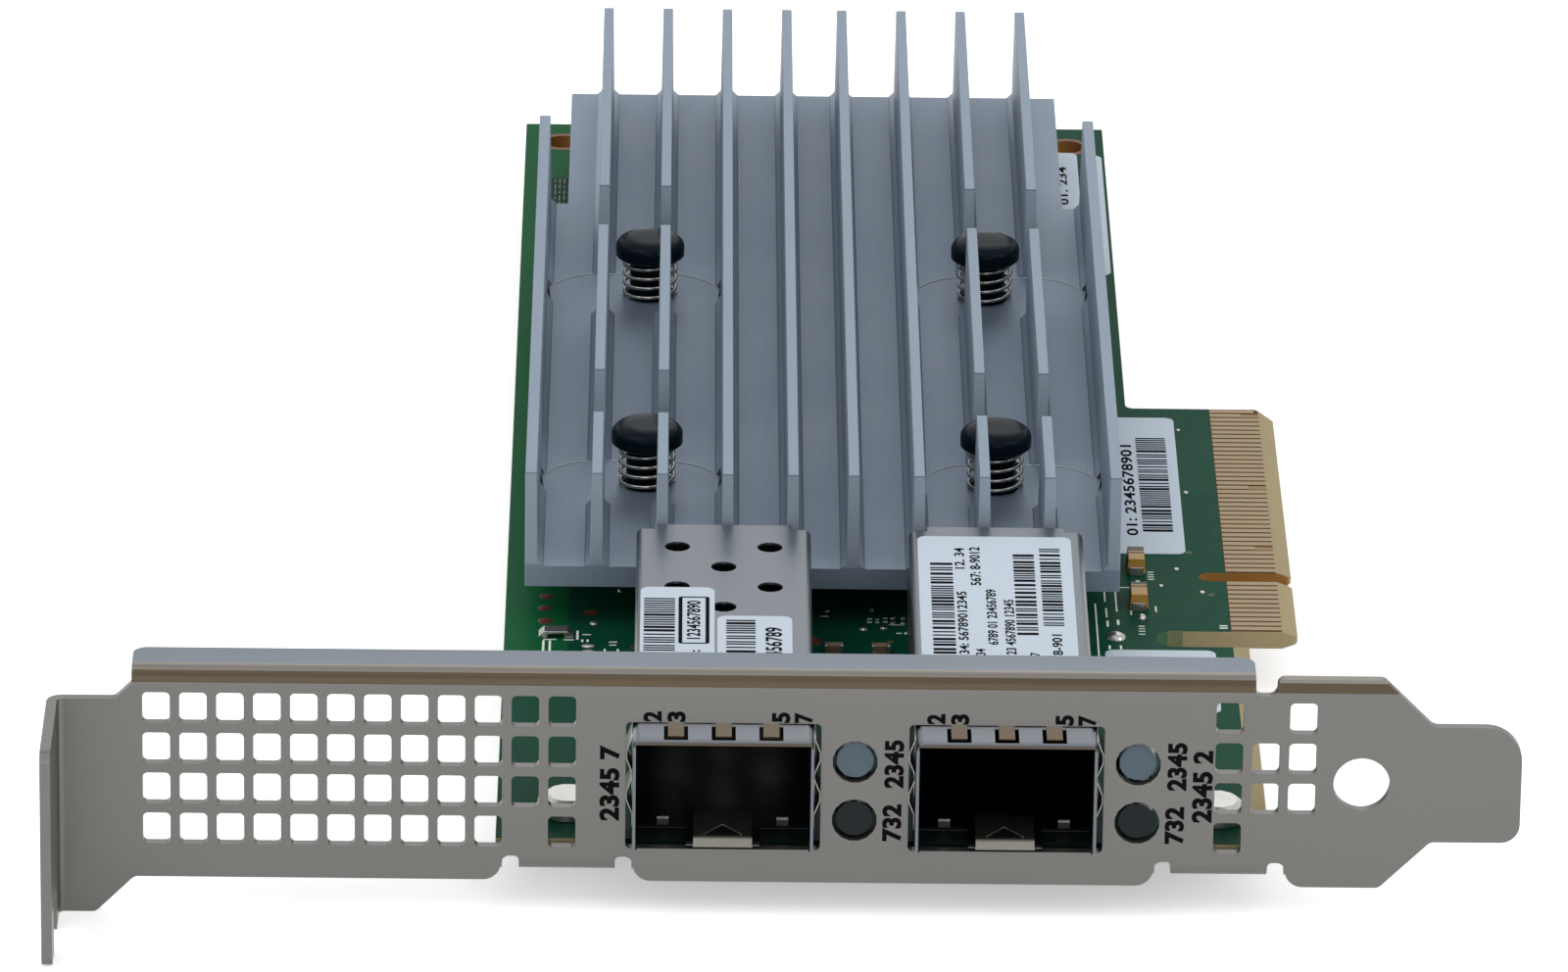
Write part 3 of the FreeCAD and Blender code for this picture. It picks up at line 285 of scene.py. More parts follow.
@dataclass(frozen=True)
class Finish:
    """A surface with cloudy colour variation, a fine grain and, where it has them, streaks and zones."""

    name: str
    colour: Colour
    roughness: float = 0.5
    metallic: float = 0.0
    contrast: float = 0.12
    cloud_scale: float = 120.0
    grain_scale: float = 3000.0
    bump: float = 0.05
    streaks: Place | None = None
    streak_gain: float = 0.1
    specular: float = 0.3
    zones: tuple[Zone, ...] = ()

    def material(self) -> bpy.types.Material:
        """Returns the material, which is built the first time it is asked for."""
        return bpy.data.materials.get(self.name) or self._build()

    def _pattern(self, graph: Graph, coordinates: Sockets):
        """Returns the colour, or its socket, that the zones and the clouds are laid on."""
        return (*self.colour, 1.0)

    def _build(self) -> bpy.types.Material:
        """Builds the material: pattern, zones, clouds and streaks in turn, then gloss and grain."""
        made = bpy.data.materials.new(self.name)
        made.use_nodes = True
        made.diffuse_color = (*self.colour, 1.0)
        graph = Graph(made.node_tree)
        coordinates = graph.node("ShaderNodeTexCoord").outputs
        place = coordinates["Object"]
        colour = self._pattern(graph, coordinates)
        for zone in self.zones:
            inside = SharedGroups.use(graph, "inside_box", {"Vector": place, "Low": zone.low, "High": zone.high})
            colour = graph.mix(inside["Mask"], colour, zone.colour)
        mottle = SharedGroups.use(graph, "mottle", {
            "Vector": place, "Color": colour, "Contrast": self.contrast, "Cloud Scale": self.cloud_scale,
            "Grain Scale": self.grain_scale})
        shade, height = mottle["Color"], mottle["Height"]
        if self.streaks:
            height = SharedGroups.use(graph, "brushing", {"Vector": place, "Stretch": self.streaks})["Streak"]
            shade = graph.scaled(shade, graph.swing(height, self.streak_gain * 2, 1.0))
        bump = graph.node("ShaderNodeBump", {"Strength": self.bump, "Distance": BUMP_DEPTH, "Height": height})
        graph.feed(made.node_tree.nodes["Principled BSDF"], {
            "Base Color": shade,
            "Metallic": self.metallic,
            "Roughness": graph.swing(mottle["Mask"], ROUGHNESS_SWING, self.roughness, clamp=True),
            "Specular IOR Level": self.specular,
            "Normal": bump.outputs[0],
        })
        return made


@dataclass(frozen=True)
class SolderMask(Finish):
    """Green lacquer over copper: pours, traces and vias, with bare laminate at the cut edges."""

    pour: Colour = (0.004, 0.058, 0.031)
    trace: Colour = (0.007, 0.078, 0.042)
    via: Colour = (0.1, 0.11, 0.06)
    laminate: Colour = (0.34, 0.28, 0.16)
    area_scale: float = 75.0
    pour_below: float = 0.46
    trace_above: float = 0.5
    trace_scale: float = 300.0
    trace_share: float = 0.55
    via_scale: float = 300.0
    via_radius: float = 0.1
    via_above: float = 0.55
    steep: float = 0.5
    bare_edge: float = 5.65 * MM

    def _pattern(self, graph: Graph, coordinates: Sockets) -> Socket:
        """Lays copper under the lacquer, and bares the laminate at the cut edges and beside the contacts.

        Args:
            graph: the material's graph.
            coordinates: the piece's coordinates.

        Returns:
            The colour's socket.
        """
        place = coordinates["Object"]
        brick = graph.node("ShaderNodeTexBrick", {"Vector": place, "Scale": self.trace_scale, "Mortar Size": 0.02,
                                                  "Brick Width": 2.6, "Row Height": 0.2}, offset=0.37)
        area = graph.noise(place, self.area_scale, 1.0)
        traced = graph.math("MULTIPLY", brick.outputs["Fac"], graph.math("GREATER_THAN", area, self.trace_above))
        cells = graph.node("ShaderNodeTexVoronoi", {"Vector": place, "Scale": self.via_scale}).outputs
        chance = graph.node("ShaderNodeTexWhiteNoise", {"Vector": cells["Color"]}).outputs[0]
        via = graph.math("MULTIPLY", graph.math("LESS_THAN", cells["Distance"], self.via_radius),
                         graph.math("GREATER_THAN", chance, self.via_above))
        lacquer = graph.mix(graph.math("LESS_THAN", area, self.pour_below), self.colour, self.pour)
        lacquer = graph.mix(graph.math("MULTIPLY", traced, self.trace_share), lacquer, self.trace)
        lacquer = graph.mix(via, lacquer, self.via)
        upward = graph.axes(coordinates["Normal"])[2]
        edge = graph.math("LESS_THAN", graph.math("ABSOLUTE", upward), self.steep)
        beside = graph.math("GREATER_THAN", graph.axes(place)[0], -self.bare_edge)
        return graph.mix(graph.math("MAXIMUM", edge, beside), lacquer, self.laminate)


@dataclass(frozen=True)
class ClearFinish(Finish):
    """Clear moulded plastic, which lets a little light through."""

    transmission: float = 0.12
    refraction: float = 1.49

    def _build(self) -> bpy.types.Material:
        """Builds the material, then opens it to light."""
        made = super()._build()
        Graph(made.node_tree).feed(made.node_tree.nodes["Principled BSDF"], {
            "Transmission Weight": self.transmission, "IOR": self.refraction})
        return made


GOLD = Finish("hard_gold", (0.31, 0.225, 0.128), 0.5, 0.3, contrast=0.25, cloud_scale=500)
# painted reflections: the flange's reflection of the sky and the bend's reflection of the ground below it, painted as
# bands of height across the sheet
FLANGED = Finish("satin_folded_sheet", (0.155, 0.153, 0.146), 0.36, 0.85, contrast=0.07, cloud_scale=60, bump=0.1,
                 grain_scale=5200, zones=(
                     zone_mm((-103, 100), (-58.7, -50), (14.85, 15.75), (0.085, 0.066, 0.044)),
                     zone_mm((-103, 100), (-58.7, -57.2), (15.75, 16.2), (0.2, 0.185, 0.165)),
                     zone_mm((-103, 100), (-57.2, -50), (15.75, 16.2), (0.14, 0.165, 0.195))))
# bronze tongues: the copper alloy's colour, with the orange glints over the cages' lips painted into it as reflection
BRONZE_AND_GLINT: Colour = (0.08, 0.048, 0.02)
BRIGHT: Colour = (0.42, 0.42, 0.41)
# painted reflection of the collar, brown, on the underside of the cages' front edges
COLLAR_REFLECTION: Colour = (0.085, 0.072, 0.06)
# painted shade inside the cages' bays
BAY_SHADE: Colour = (0.016, 0.016, 0.018)
# painted shade on the board under the cages
BOARD_SHADE: Colour = (0.003, 0.004, 0.003)
BLACK = Finish("black_nylon", (0.003, 0.007, 0.012), 0.22, contrast=0.3, bump=0.03, specular=0.05)
# painted light: the fins' sides stand in each other's shade, and their colour is lightened to make up for it
ALUMINIUM = Finish("extruded_aluminium", (0.21, 0.262, 0.328), 0.5, 0.45, contrast=0.08, cloud_scale=60, bump=0.1,
                   streaks=(1.0, 0.03, 1.0), streak_gain=0.06,
                   zones=(zone_mm((-100, 100), (-100, 200), (6.4, 14.7), (0.3, 0.36, 0.43)),))
MILLED = Finish("milled_edge", (0.42, 0.45, 0.48), 0.4, 0.5)
WIRE = Finish("drawn_spring_wire", (0.4, 0.38, 0.35), 0.25, 1.0, contrast=0.2, cloud_scale=900)
SCREW = Finish("zinc_plated_screw", (0.5, 0.5, 0.48), 0.3, 0.95, contrast=0.2, cloud_scale=500)
SUBSTRATE = Finish("brown_green_laminate", (0.03, 0.09, 0.05), 0.5)
LID = Finish("matt_nickel_lid", (0.5, 0.49, 0.47), 0.4, 0.9, streaks=(1.0, 0.05, 1.0))
PAD = Finish("soft_grey_pad", (0.4, 0.4, 0.43), 0.8, contrast=0.3)
CHIP = Finish("matt_epoxy", (0.016, 0.017, 0.017), 0.6, contrast=0.3, bump=0.2, specular=0.15)
FERRITE = Finish("pressed_powder", (0.06, 0.06, 0.065), 0.7, contrast=0.4, bump=0.3)
CAN = Finish("satin_can", (0.6, 0.58, 0.54), 0.3, 0.9)
TIN = Finish("bright_tin", (0.42, 0.41, 0.395), 0.28, 0.9, contrast=0.25, cloud_scale=800)
LATCH_LIP = Finish("folded_lip", (0.2, 0.19, 0.17), 0.35, 0.8, contrast=0.2)
# painted shade: the latch ramp and the stops' sides, darker than the cage's sheet inside the port's mouth
LATCH = Finish("latch_sheet_painted_shade", (0.06, 0.054, 0.048), 0.4, 0.8, contrast=0.2)
CERAMIC = Finish("fired_ceramic", (0.2, 0.13, 0.08), 0.45, contrast=0.3, cloud_scale=900)
RESIN = Finish("milky_resin", (0.75, 0.75, 0.68), 0.3)
# painted shade: the lower guide is darker than the upper one, as it has less light behind it
CLEAR = ClearFinish("clear_moulding", (0.1, 0.135, 0.165), 0.16, contrast=0.12, specular=0.08,
                    zones=(zone_mm((-200, 200), (-200, 200), (-20, 5.8), (0.012, 0.016, 0.018)),))
PAPER = Finish("label_stock", (0.5, 0.575, 0.65), 0.5, contrast=0.04, specular=0.12)
INK = Finish("black_ink", (0.004, 0.004, 0.005), 0.8, contrast=0.1, specular=0.03)
SILK = Finish("silkscreen_white", (0.82, 0.86, 0.8), 0.6, contrast=0.3)
DARK_PRINT = Finish("dark_green_panel", (0.008, 0.03, 0.022), 0.5, specular=0.05)
PALE_PRINT = Finish("pale_green_print", (0.2, 0.32, 0.25), 0.6, specular=0.05)
COPPER = Finish("bare_copper_ring", (0.13, 0.055, 0.012), 0.45, 0.3, contrast=0.35, cloud_scale=600)
RUST = Finish("lacquered_copper", (0.1, 0.026, 0.014), 0.4, 0.1, contrast=0.3, cloud_scale=600)


# ---------------------------------------------------------------- shapes
def grid_faces(rows: int, columns: int) -> np.ndarray:
    """Quads between rows of points, each of which closes on itself.

    Args:
        rows: number of rows.
        columns: number of points in a row.

    Returns:
        An (n, 4) array of point numbers.
    """
    row = np.arange(rows - 1)[:, None] * columns
    here = np.arange(columns)[None, :]
    following = (here + 1) % columns
    corners = (row + here, row + following, row + columns + following, row + columns + here)
    return np.stack(corners, -1).reshape(-1, 4)


def closed_faces(rings: int, around: int, bodies: int = 1) -> list:
    """Faces of bodies that are each a stack of rings with a flat end at either side.

    Args:
        rings: rings in a body.
        around: points in a ring, anticlockwise as seen from beyond the last ring.
        bodies: number of bodies, whose points follow each other.

    Returns:
        Lists of point numbers, outward by the right-hand rule.
    """
    start = np.arange(bodies)[:, None] * rings * around
    walls = (grid_faces(rings, around)[None] + start[:, :, None]).reshape(-1, 4)
    first = start + np.arange(around)[::-1]
    last = start + (rings - 1) * around + np.arange(around)
    return walls.tolist() + first.tolist() + last.tolist()


def turned(profile: np.ndarray, centre: Pair) -> np.ndarray:
    """Rings about a vertical axis: point = centre + radius (cos a, sin a), height.

    Args:
        profile: (n, 2) radii and heights.
        centre: the axis in plan.

    Returns:
        The points, ring after ring.
    """
    angle = np.linspace(0, 2 * np.pi, TURN_STEPS, endpoint=False)
    radius, height = profile[:, :1], profile[:, 1:]
    return np.stack([centre[0] + radius * np.cos(angle), centre[1] + radius * np.sin(angle),
                     height + np.zeros(TURN_STEPS)], -1).reshape(-1, 3)


def revolved(profile: np.ndarray, centre: Pair) -> Shape:
    """A closed body turned from a profile that runs from the lower pole to the upper one."""
    return turned(profile, centre), closed_faces(len(profile), TURN_STEPS)


def washer(centre: Pair, radii: Pair, low: float, high: float) -> Shape:
    """A flat ring: four circles, one at each corner of its section, joined in a loop.

    Args:
        centre: the axis in plan.
        radii: of the hole and of the rim.
        low: height of the underside.
        high: height of the top.

    Returns:
        The points and faces.
    """
    inner, outer = radii
    section = np.array([(inner, low), (outer, low), (outer, high), (inner, high)])
    points = turned(section, centre)
    return points, (grid_faces(len(section) + 1, TURN_STEPS) % len(points)).tolist()


def tube(path: np.ndarray, radius: float, sides: int = 10) -> Shape:
    """A round bar along a path: each section stands across the path's direction.

    Args:
        path: an (n, 3) array of centres.
        radius: of the bar.
        sides: number of steps round the section.

    Returns:
        The points and faces.
    """
    along = np.gradient(path, axis=0)
    along /= np.linalg.norm(along, axis=1, keepdims=True)
    first = np.cross(along, (0.0, 0.0, 1.0))
    first /= np.linalg.norm(first, axis=1, keepdims=True)
    second = np.cross(along, first)
    angle = np.linspace(0, 2 * np.pi, sides, endpoint=False)[None, :, None]
    ring = path[:, None] + radius * (np.cos(angle) * first[:, None] + np.sin(angle) * second[:, None])
    return ring.reshape(-1, 3), closed_faces(len(path), sides)


def swept(profile: np.ndarray, spans: list[Pair]) -> Shape:
    """Folded strips: one closed outline in the Y-Z plane, carried along X over each span.

    Args:
        profile: (n, 2) corners, anticlockwise as seen from +X.
        spans: lowest and highest X of each strip.

    Returns:
        The points and faces.
    """
    count = len(profile)
    ends = np.array(spans).reshape(-1)
    points = np.column_stack([np.repeat(ends, count), np.tile(profile, (len(ends), 1))])
    return points, closed_faces(2, count, len(spans))


def printed_marks(marks: list[Stroke], low: float) -> Shape:
    """Thin strokes of ink: for each, an eight-cornered plate, whose cut corners round it off.

    Args:
        marks: (x, y, width, length) of each stroke, in millimetres.
        low: the surface that they lie on, in metres.

    Returns:
        The points and faces.
    """
    table = np.array(marks) * MM
    cut_share = 0.18
    cut = cut_share * table[:, 2:].min(1)[:, None]
    half_x, half_y = table[:, 2:3] / 2, table[:, 3:] / 2
    corner_x = np.concatenate([half_x - cut, half_x, half_x, half_x - cut], 1)
    corner_y = np.concatenate([-half_y, cut - half_y, half_y - cut, half_y], 1)
    x = table[:, :1] + np.concatenate([corner_x, -corner_x[:, ::-1]], 1)
    y = table[:, 1:2] + np.concatenate([corner_y, corner_y[:, ::-1]], 1)
    lower = np.stack([x, y, np.full_like(x, low)], -1)
    points = np.stack([lower, lower + np.array([0, 0, INK_DEPTH])], 1)
    return points.reshape(-1, 3), closed_faces(2, x.shape[1], len(marks))


def solder_beads(beads: list[Bead]) -> Shape:
    """Domes on the board: half ellipsoids, point = centre + (rx cos a cos b, ry sin a cos b, h sin b).

    Args:
        beads: (x, y, radius along X, radius along Y, height) of each, in millimetres.

    Returns:
        The points and faces.
    """
    centre_x, centre_y, radius_x, radius_y, rise = (np.array(beads) * MM).T[:, :, None, None]
    around, levels, top_angle = 20, 6, 0.47 * np.pi
    a = np.linspace(0, 2 * np.pi, around, endpoint=False)[None, None, :]
    b = np.linspace(0, top_angle, levels)[None, :, None]
    x = centre_x + radius_x * np.cos(a) * np.cos(b)
    y = centre_y + radius_y * np.sin(a) * np.cos(b)
    z = BOARD_TOP + rise * np.sin(b) + np.zeros_like(a)
    return np.stack([x, y, z], -1).reshape(-1, 3), closed_faces(levels, around, len(beads))


# ---------------------------------------------------------------- pieces
def linked(name: str, mesh: bpy.types.Mesh) -> bpy.types.Object:
    """Puts a mesh into the scene as an object at the origin."""
    made = bpy.data.objects.new(name, mesh)
    bpy.context.scene.collection.objects.link(made)
    return made


def mesh_object(name: str, shape: Shape, finish: Finish, smooth: bool = True) -> bpy.types.Object:
    """Makes an object at the origin from points in metres.

    Args:
        name: the object's name.
        shape: (n, 3) points, and faces outward by the right-hand rule.
        finish: what the surface looks like.
        smooth: True to shade it smooth up to a sharp angle, False for flat faces.

    Returns:
        The new object.
    """
    points, faces = shape
    mesh = bpy.data.meshes.new(name)
    mesh.from_pydata(points.tolist(), [], faces)
    mesh.validate()
    mesh.materials.append(finish.material())
    if smooth:
        mesh.shade_smooth()
        mesh.set_sharp_from_angle(angle=SHARP)
    return linked(name, mesh)


def attach(made: bpy.types.Object, slot: str, *nodes: str) -> None:
    """Makes a piece ride on the card, and stand for CAD nodes if any are named.

    Args:
        made: the piece.
        slot: the record's material slot; not used.
        nodes: CAD nodes that the piece replaces.
    """
    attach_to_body(made, ROOT)
    if nodes:
        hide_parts(*nodes)
    log.info("%s: %d faces", made.name, len(made.data.polygons))


def add(name: str, shape: Shape, finish: Finish, slot: str, *nodes: str, smooth: bool = True) -> None:
    """Makes a piece and attaches it.

    Args:
        name: the piece's name.
        shape: its points and faces.
        finish: what its surface looks like.
        slot: the record's material slot.
        nodes: CAD nodes that it replaces.
        smooth: False for flat faces all over.
    """
    attach(mesh_object(name, shape, finish, smooth), slot, *nodes)


def dress(node: str, finish: Finish) -> None:
    """Gives a CAD node its finish.

    Args:
        node: the node's name.
        finish: what its surface looks like.
    """
    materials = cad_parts[node].data.materials
    materials.clear()
    materials.append(finish.material())
    log.info("%s dressed as %s", node, finish.name)


def merged(node: str) -> bmesh.types.BMesh:
    """A CAD node's triangles with their doubles merged and flat faces joined.

    Args:
        node: the node's name.

    Returns:
        The mesh, which the caller frees.
    """
    same_place, same_plane = 1e-6, math.radians(0.6)
    work = bmesh.new()
    work.from_mesh(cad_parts[node].data)
    bmesh.ops.remove_doubles(work, verts=work.verts, dist=same_place)
    bmesh.ops.dissolve_limit(work, angle_limit=same_plane, verts=work.verts, edges=work.edges)
    return work


def rounded(node: str, finish: Finish, slot: str, edge_mm: float, segments: int = 2,
            shape: Callable[[bmesh.types.BMesh], None] | None = None,
            spare: Callable[[bmesh.types.BMEdge], bool] | None = None) -> None:
    """Makes a copy of a CAD node with rounded edges, which then stands for the node.

    Args:
        node: the node's name.
        finish: what its surface looks like.
        slot: the record's material slot.
        edge_mm: width of the rounded edges, in millimetres.
        segments: steps across each rounded edge.
        shape: a further change to the merged mesh, made before the edges are rounded.
        spare: tells which edges stay sharp.
    """
    work = merged(node)
    if shape:
        shape(work)
    weight = work.edges.layers.float.new("bevel_weight_edge")
    for edge in work.edges:
        folded = len(edge.link_faces) == 2 and edge.calc_face_angle(0) > SHARP
        spared = bool(spare and spare(edge))
        edge[weight] = 1.0 if folded and not spared else 0.0
        edge.smooth = not (folded or spared)
    for face in work.faces:
        face.smooth = True
    mesh = bpy.data.meshes.new(node + "_body")
    work.to_mesh(mesh)
    work.free()
    mesh.materials.append(finish.material())
    made = linked(node + "_body", mesh)
    bevel = made.modifiers.new("edges", "BEVEL")
    bevel.width = edge_mm * MM
    bevel.segments = segments
    bevel.limit_method = "WEIGHT"
    bevel.use_clamp_overlap = True
    bevel.harden_normals = True
    attach(made, slot, node)


class Facing(Enum):
    """Where print faces, as the directions of its length, of its figures' height and of its thickness."""

    UPRIGHT = ((0, 0, 1), (-1, 0, 0), (0, -1, 0))
    FLAT = ((0, 1, 0), (-1, 0, 0), (0, 0, 1))


def add_number(name: str, figures: str, centre: Place, size: Pair, facing: Facing, weight: float) -> None:
    """Prints bold narrow figures whose tops point to the left, and attaches them.

    Args:
        name: the piece's name.
        figures: what it reads.
        centre: the middle of the print, in metres.
        size: length of the print and height of its figures, in millimetres.
        facing: upright on a front face, or flat on a top.
        weight: how far the strokes are thickened, as a fraction of their height.
    """
    some_depth, spacing = 0.01, 1.04
    curve = bpy.data.curves.new(name, "FONT")
    curve.body = figures
    curve.offset = weight
    curve.extrude = some_depth
    curve.space_character = spacing
    made = linked(name, curve)
    bpy.context.view_layer.update()
    mesh = bpy.data.meshes.new_from_object(made)
    bpy.data.objects.remove(made)
    points = np.empty(len(mesh.vertices) * 3)
    mesh.vertices.foreach_get("co", points)
    points = points.reshape(-1, 3)
    low, high = points.min(0), points.max(0)
    fitted = (points - (low + high) / 2) / (high - low) * np.array([size[0] * MM, size[1] * MM, INK_DEPTH])
    mesh.vertices.foreach_set("co", (fitted @ np.array(facing.value) + np.array(centre)).ravel())
    mesh.update()
    mesh.materials.clear()
    mesh.materials.append(INK.material())
    attach(linked(name, mesh), "black_moulding")


# ---------------------------------------------------------------- sub-assemblies
@dataclass
class Bracket:
    """The folded plate, its punched openings with rounded corners, and its plain numbers.

    The numbers are placed in millimetres from origin, the plate's low corner. Openings lie between the
    plate's ends and heights.
    """

    corner: float = 0.42 * MM
    sunk: float = 0.08 * MM
    inset: float = 0.012 * MM
    arc_points: int = 7
    edge_mm: float = 0.1
    screw_edge_mm: float = 0.12
    sheet: float = 0.86 * MM
    ends: Pair = (6 * MM, 9 * MM)
    heights: Pair = (-0.9 * MM, 14.6 * MM)
    origin: Pair = (-104.05, -2.365)
    port_step: float = 23.05
    weight: float = 0.045
    corners: list[Stroke] = field(default_factory=list)

    def build(self) -> None:
        """Makes the plate and prints on it."""
        rounded("bracket", FLANGED, "bracket_steel", self.edge_mm, shape=self._find_corners)
        self._fill_corners()
        self._number()
        rounded("bracket_screws", SCREW, "screw_steel", self.screw_edge_mm)

    def _find_corners(self, work: bmesh.types.BMesh) -> None:
        """Notes each opening's corners: the hollow short edges across the sheet inside the plate.

        Args:
            work: the merged mesh of the bracket.
        """
        exact, near, square = 1e-6, 1e-5, math.radians(80)
        low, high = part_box("bracket")
        for edge in work.edges:
            first, second = (vertex.co for vertex in edge.verts)
            across = second - first
            spans = abs(abs(across.y) - self.sheet) < exact and abs(across.x) + abs(across.z) < exact
            on_plate = min(first.y, second.y) < PLATE_FACE + near
            inside = (low[0] + self.ends[0] < first.x < high[0] - self.ends[1]
                      and self.heights[0] < first.z < self.heights[1])
            if not (spans and on_plate and inside and len(edge.link_faces) == 2):
                continue
            if edge.calc_face_angle(0) > square and not edge.is_convex:
                inward = edge.link_faces[0].normal + edge.link_faces[1].normal
                self.corners.append((first.x, first.z, math.copysign(1, inward.x), math.copysign(1, inward.z)))

    def _fill_corners(self) -> None:
        """Puts a small web into each noted corner; its free side is a quarter circle."""
        corners = np.array(self.corners)
        turn = np.linspace(0, math.pi / 2, self.arc_points)
        arc = self.corner * np.column_stack([1 - np.sin(turn), 1 - np.cos(turn)])
        web = np.vstack([[-self.sunk, -self.sunk], [self.corner, -self.sunk], arc, [-self.sunk, self.corner]])
        # a web turned inside out by its signs is listed backwards, so that it still faces outwards
        backwards = corners[:, 2] * corners[:, 3] > 0
        order = np.where(backwards[:, None], np.arange(len(web))[::-1], np.arange(len(web)))
        section = corners[:, None, :2] + corners[:, None, 2:] * web[order]
        faces_y = (PLATE_FACE + self.inset, PLATE_FACE + self.sheet - self.inset)
        points = np.stack([np.insert(section, 1, y, axis=2) for y in faces_y], 1).reshape(-1, 3)
        shape = points, closed_faces(2, len(web), len(corners))
        add("opening_corners", shape, FLANGED, "bracket_steel", smooth=False)
        log.info("bracket: %d opening corners filled", len(corners))

    def _number(self) -> None:
        """Prints plain numbers beside the ports, lamps and fibres, reading upwards."""
        prints = {
            "port_2_name": ("2345 7", 45.76, 8.69, 6.7, 1.65),
            "port_1_name": ("2345 2", 94.05, 8.86, 6.4, 1.65),
        }
        for port, shift in (("2", 0.0), ("1", self.port_step)):
            prints["link_name_" + port] = ("2345", 68.9 + shift, 10.6, 4.25, 1.6)
            prints["act_name_" + port] = ("732", 68.8 + shift, 5.4, 3.3, 1.6)
            for index, (figure, u) in enumerate((("2", 49.2), ("3", 51.15), ("5", 59.65), ("7", 61.5))):
                prints["fibre_name_%s_%d" % (port, index)] = (figure, u + shift, 14.62, 0.92, 1.5)
        for name, (figures, u, v, *size) in prints.items():
            centre = ((u + self.origin[0]) * MM, PLATE_FACE, (v + self.origin[1]) * MM)
            add_number(name, figures, centre, size, Facing.UPRIGHT, self.weight)


@dataclass
class Port:
    """One transceiver port: cage, spring collar, latch, host connector and light pipe.

    The latch's outline is given in the Y-Z plane, in millimetres from the plate's face and the board's top.
    """

    name: str
    sheet: float = 0.25 * MM
    cage_edge_mm: float = 0.07
    collar_edge_mm: float = 0.03
    connector_edge_mm: float = 0.1
    guide_edge_mm: float = 0.15
    latch_half: float = 2.4 * MM
    latch_reach: float = 3.02 * MM
    stop_offset: float = 4.9 * MM
    stop_half: float = 0.48 * MM
    tongue_half: float = 7.0 * MM
    ramp: tuple[Pair, ...] = ((6.2, 0.24), (6.2, 0.32), (-0.1, 0.94), (-0.1, 0.74))
    lip: tuple[Pair, ...] = ((-0.1, 0.95), (-0.28, 0.9), (-0.42, 0.74), (-0.42, 0.1), (-0.24, 0.1),
                             (-0.24, 0.68), (-0.1, 0.74))
    stop: tuple[Pair, ...] = ((3.9, 0.24), (3.9, 0.8), (3.7, 0.8), (3.7, 0.24))
    # outline of the stops' tops, which carry a painted highlight
    stop_highlight: tuple[Pair, ...] = ((3.95, 0.8), (3.95, 0.98), (3.7, 0.98), (3.7, 0.8))
    opening: tuple[Pair, ...] = ((-1.5, 0.35), (1.5, 0.35), (0.0, 2.9))
    low: Vector = field(init=False)
    high: Vector = field(init=False)
    middle: float = field(init=False)

    def __post_init__(self) -> None:
        """Finds the port's place from its cage."""
        self.low, self.high = (Vector(corner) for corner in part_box("cage_" + self.name))
        self.middle = (self.low.x + self.high.x) / 2

    def build(self) -> None:
        """Dresses the port's pieces."""
        rounded("cage_" + self.name, self._plating(), "cage_nickel", self.cage_edge_mm,
                shape=self._draw_back_floor)
        # the tongues above and below the port: bronze, with a painted orange reflection in it
        bronze_and_glint_tongues = Zone((self.middle - self.tongue_half, -1.0, -1.0), (self.middle + self.tongue_half, 1.0, 1.0),
                       BRONZE_AND_GLINT)
        collar = Finish("spring_collar_" + self.name, BRIGHT, 0.3, 0.9, contrast=0.3, cloud_scale=600,
                        zones=(bronze_and_glint_tongues,))
        rounded("spring_gasket_" + self.name, collar, "gasket_copper_alloy", self.collar_edge_mm, 1)
        rounded("connector_" + self.name, BLACK, "black_moulding", self.connector_edge_mm)
        dress("connector_contacts_" + self.name, GOLD)
        rounded("light_pipe_" + self.name, CLEAR, "clear_plastic", self.guide_edge_mm)
        self._latch()

    def _plating(self) -> Finish:
        """The cage's finish: painted shade inside the bay, and a painted brown reflection of the collar in the front
        edge's underside.
        """
        low, high = self.low, self.high
        wall, behind_plate, above_board, rear_wall = 0.8 * self.sheet, 0.4 * MM, 0.05 * MM, 1.2 * MM
        reflection_depth, reflection_height = 0.62 * MM, 0.5 * MM
        # painted shade in the bay: the cage's inside, short of its walls, its rear and the plate
        bay = Zone((low.x + wall, PLATE_FACE + behind_plate, BOARD_TOP + above_board),
                   (high.x - wall, high.y - rear_wall, high.z - wall), BAY_SHADE)
        # painted reflection of the collar on the underside of the front edge
        collar_reflection = Zone((low.x, low.y - MM, high.z - reflection_height), (high.x, low.y + reflection_depth, high.z + MM), COLLAR_REFLECTION)
        return Finish("cage_plating_" + self.name, (0.14, 0.156, 0.178), 0.3, 0.9, contrast=0.1,
                      cloud_scale=160, streaks=(0.05, 1.0, 1.0), streak_gain=0.05, zones=(bay, collar_reflection))

    def _draw_back_floor(self, work: bmesh.types.BMesh) -> None:
        """Brings the floor between the latch's openings back to the plate, where the latch's lip ends it.

        Args:
            work: the cage's mesh.
        """
        front, behind, near = PLATE_FACE - 0.9 * MM, PLATE_FACE - 0.2 * MM, 0.05 * MM
        floor = BOARD_TOP + self.sheet
        kept_depth, kept_height = 0.1, 0.25
        for vertex in work.verts:
            place = vertex.co
            if abs(place.x - self.middle) < self.latch_reach and place.y < front and place.z < floor + near:
                place.y = behind + kept_depth * (place.y - front)
                place.z = floor + kept_height * (place.z - floor)

    def _strip(self, name: str, outline: tuple[Pair, ...], spans: list[Pair], finish: Finish) -> None:
        """Folds a strip of the cage's sheet.

        Args:
            name: of the strip.
            outline: its section, in millimetres.
            spans: lowest and highest X of each length of it, from the port's centre.
            finish: what it looks like.
        """
        section = np.array(outline) * MM + np.array([PLATE_FACE, BOARD_TOP])
        placed = [(self.middle + low, self.middle + high) for low, high in spans]
        add(name + "_" + self.name, swept(section, placed), finish, "cage_nickel")

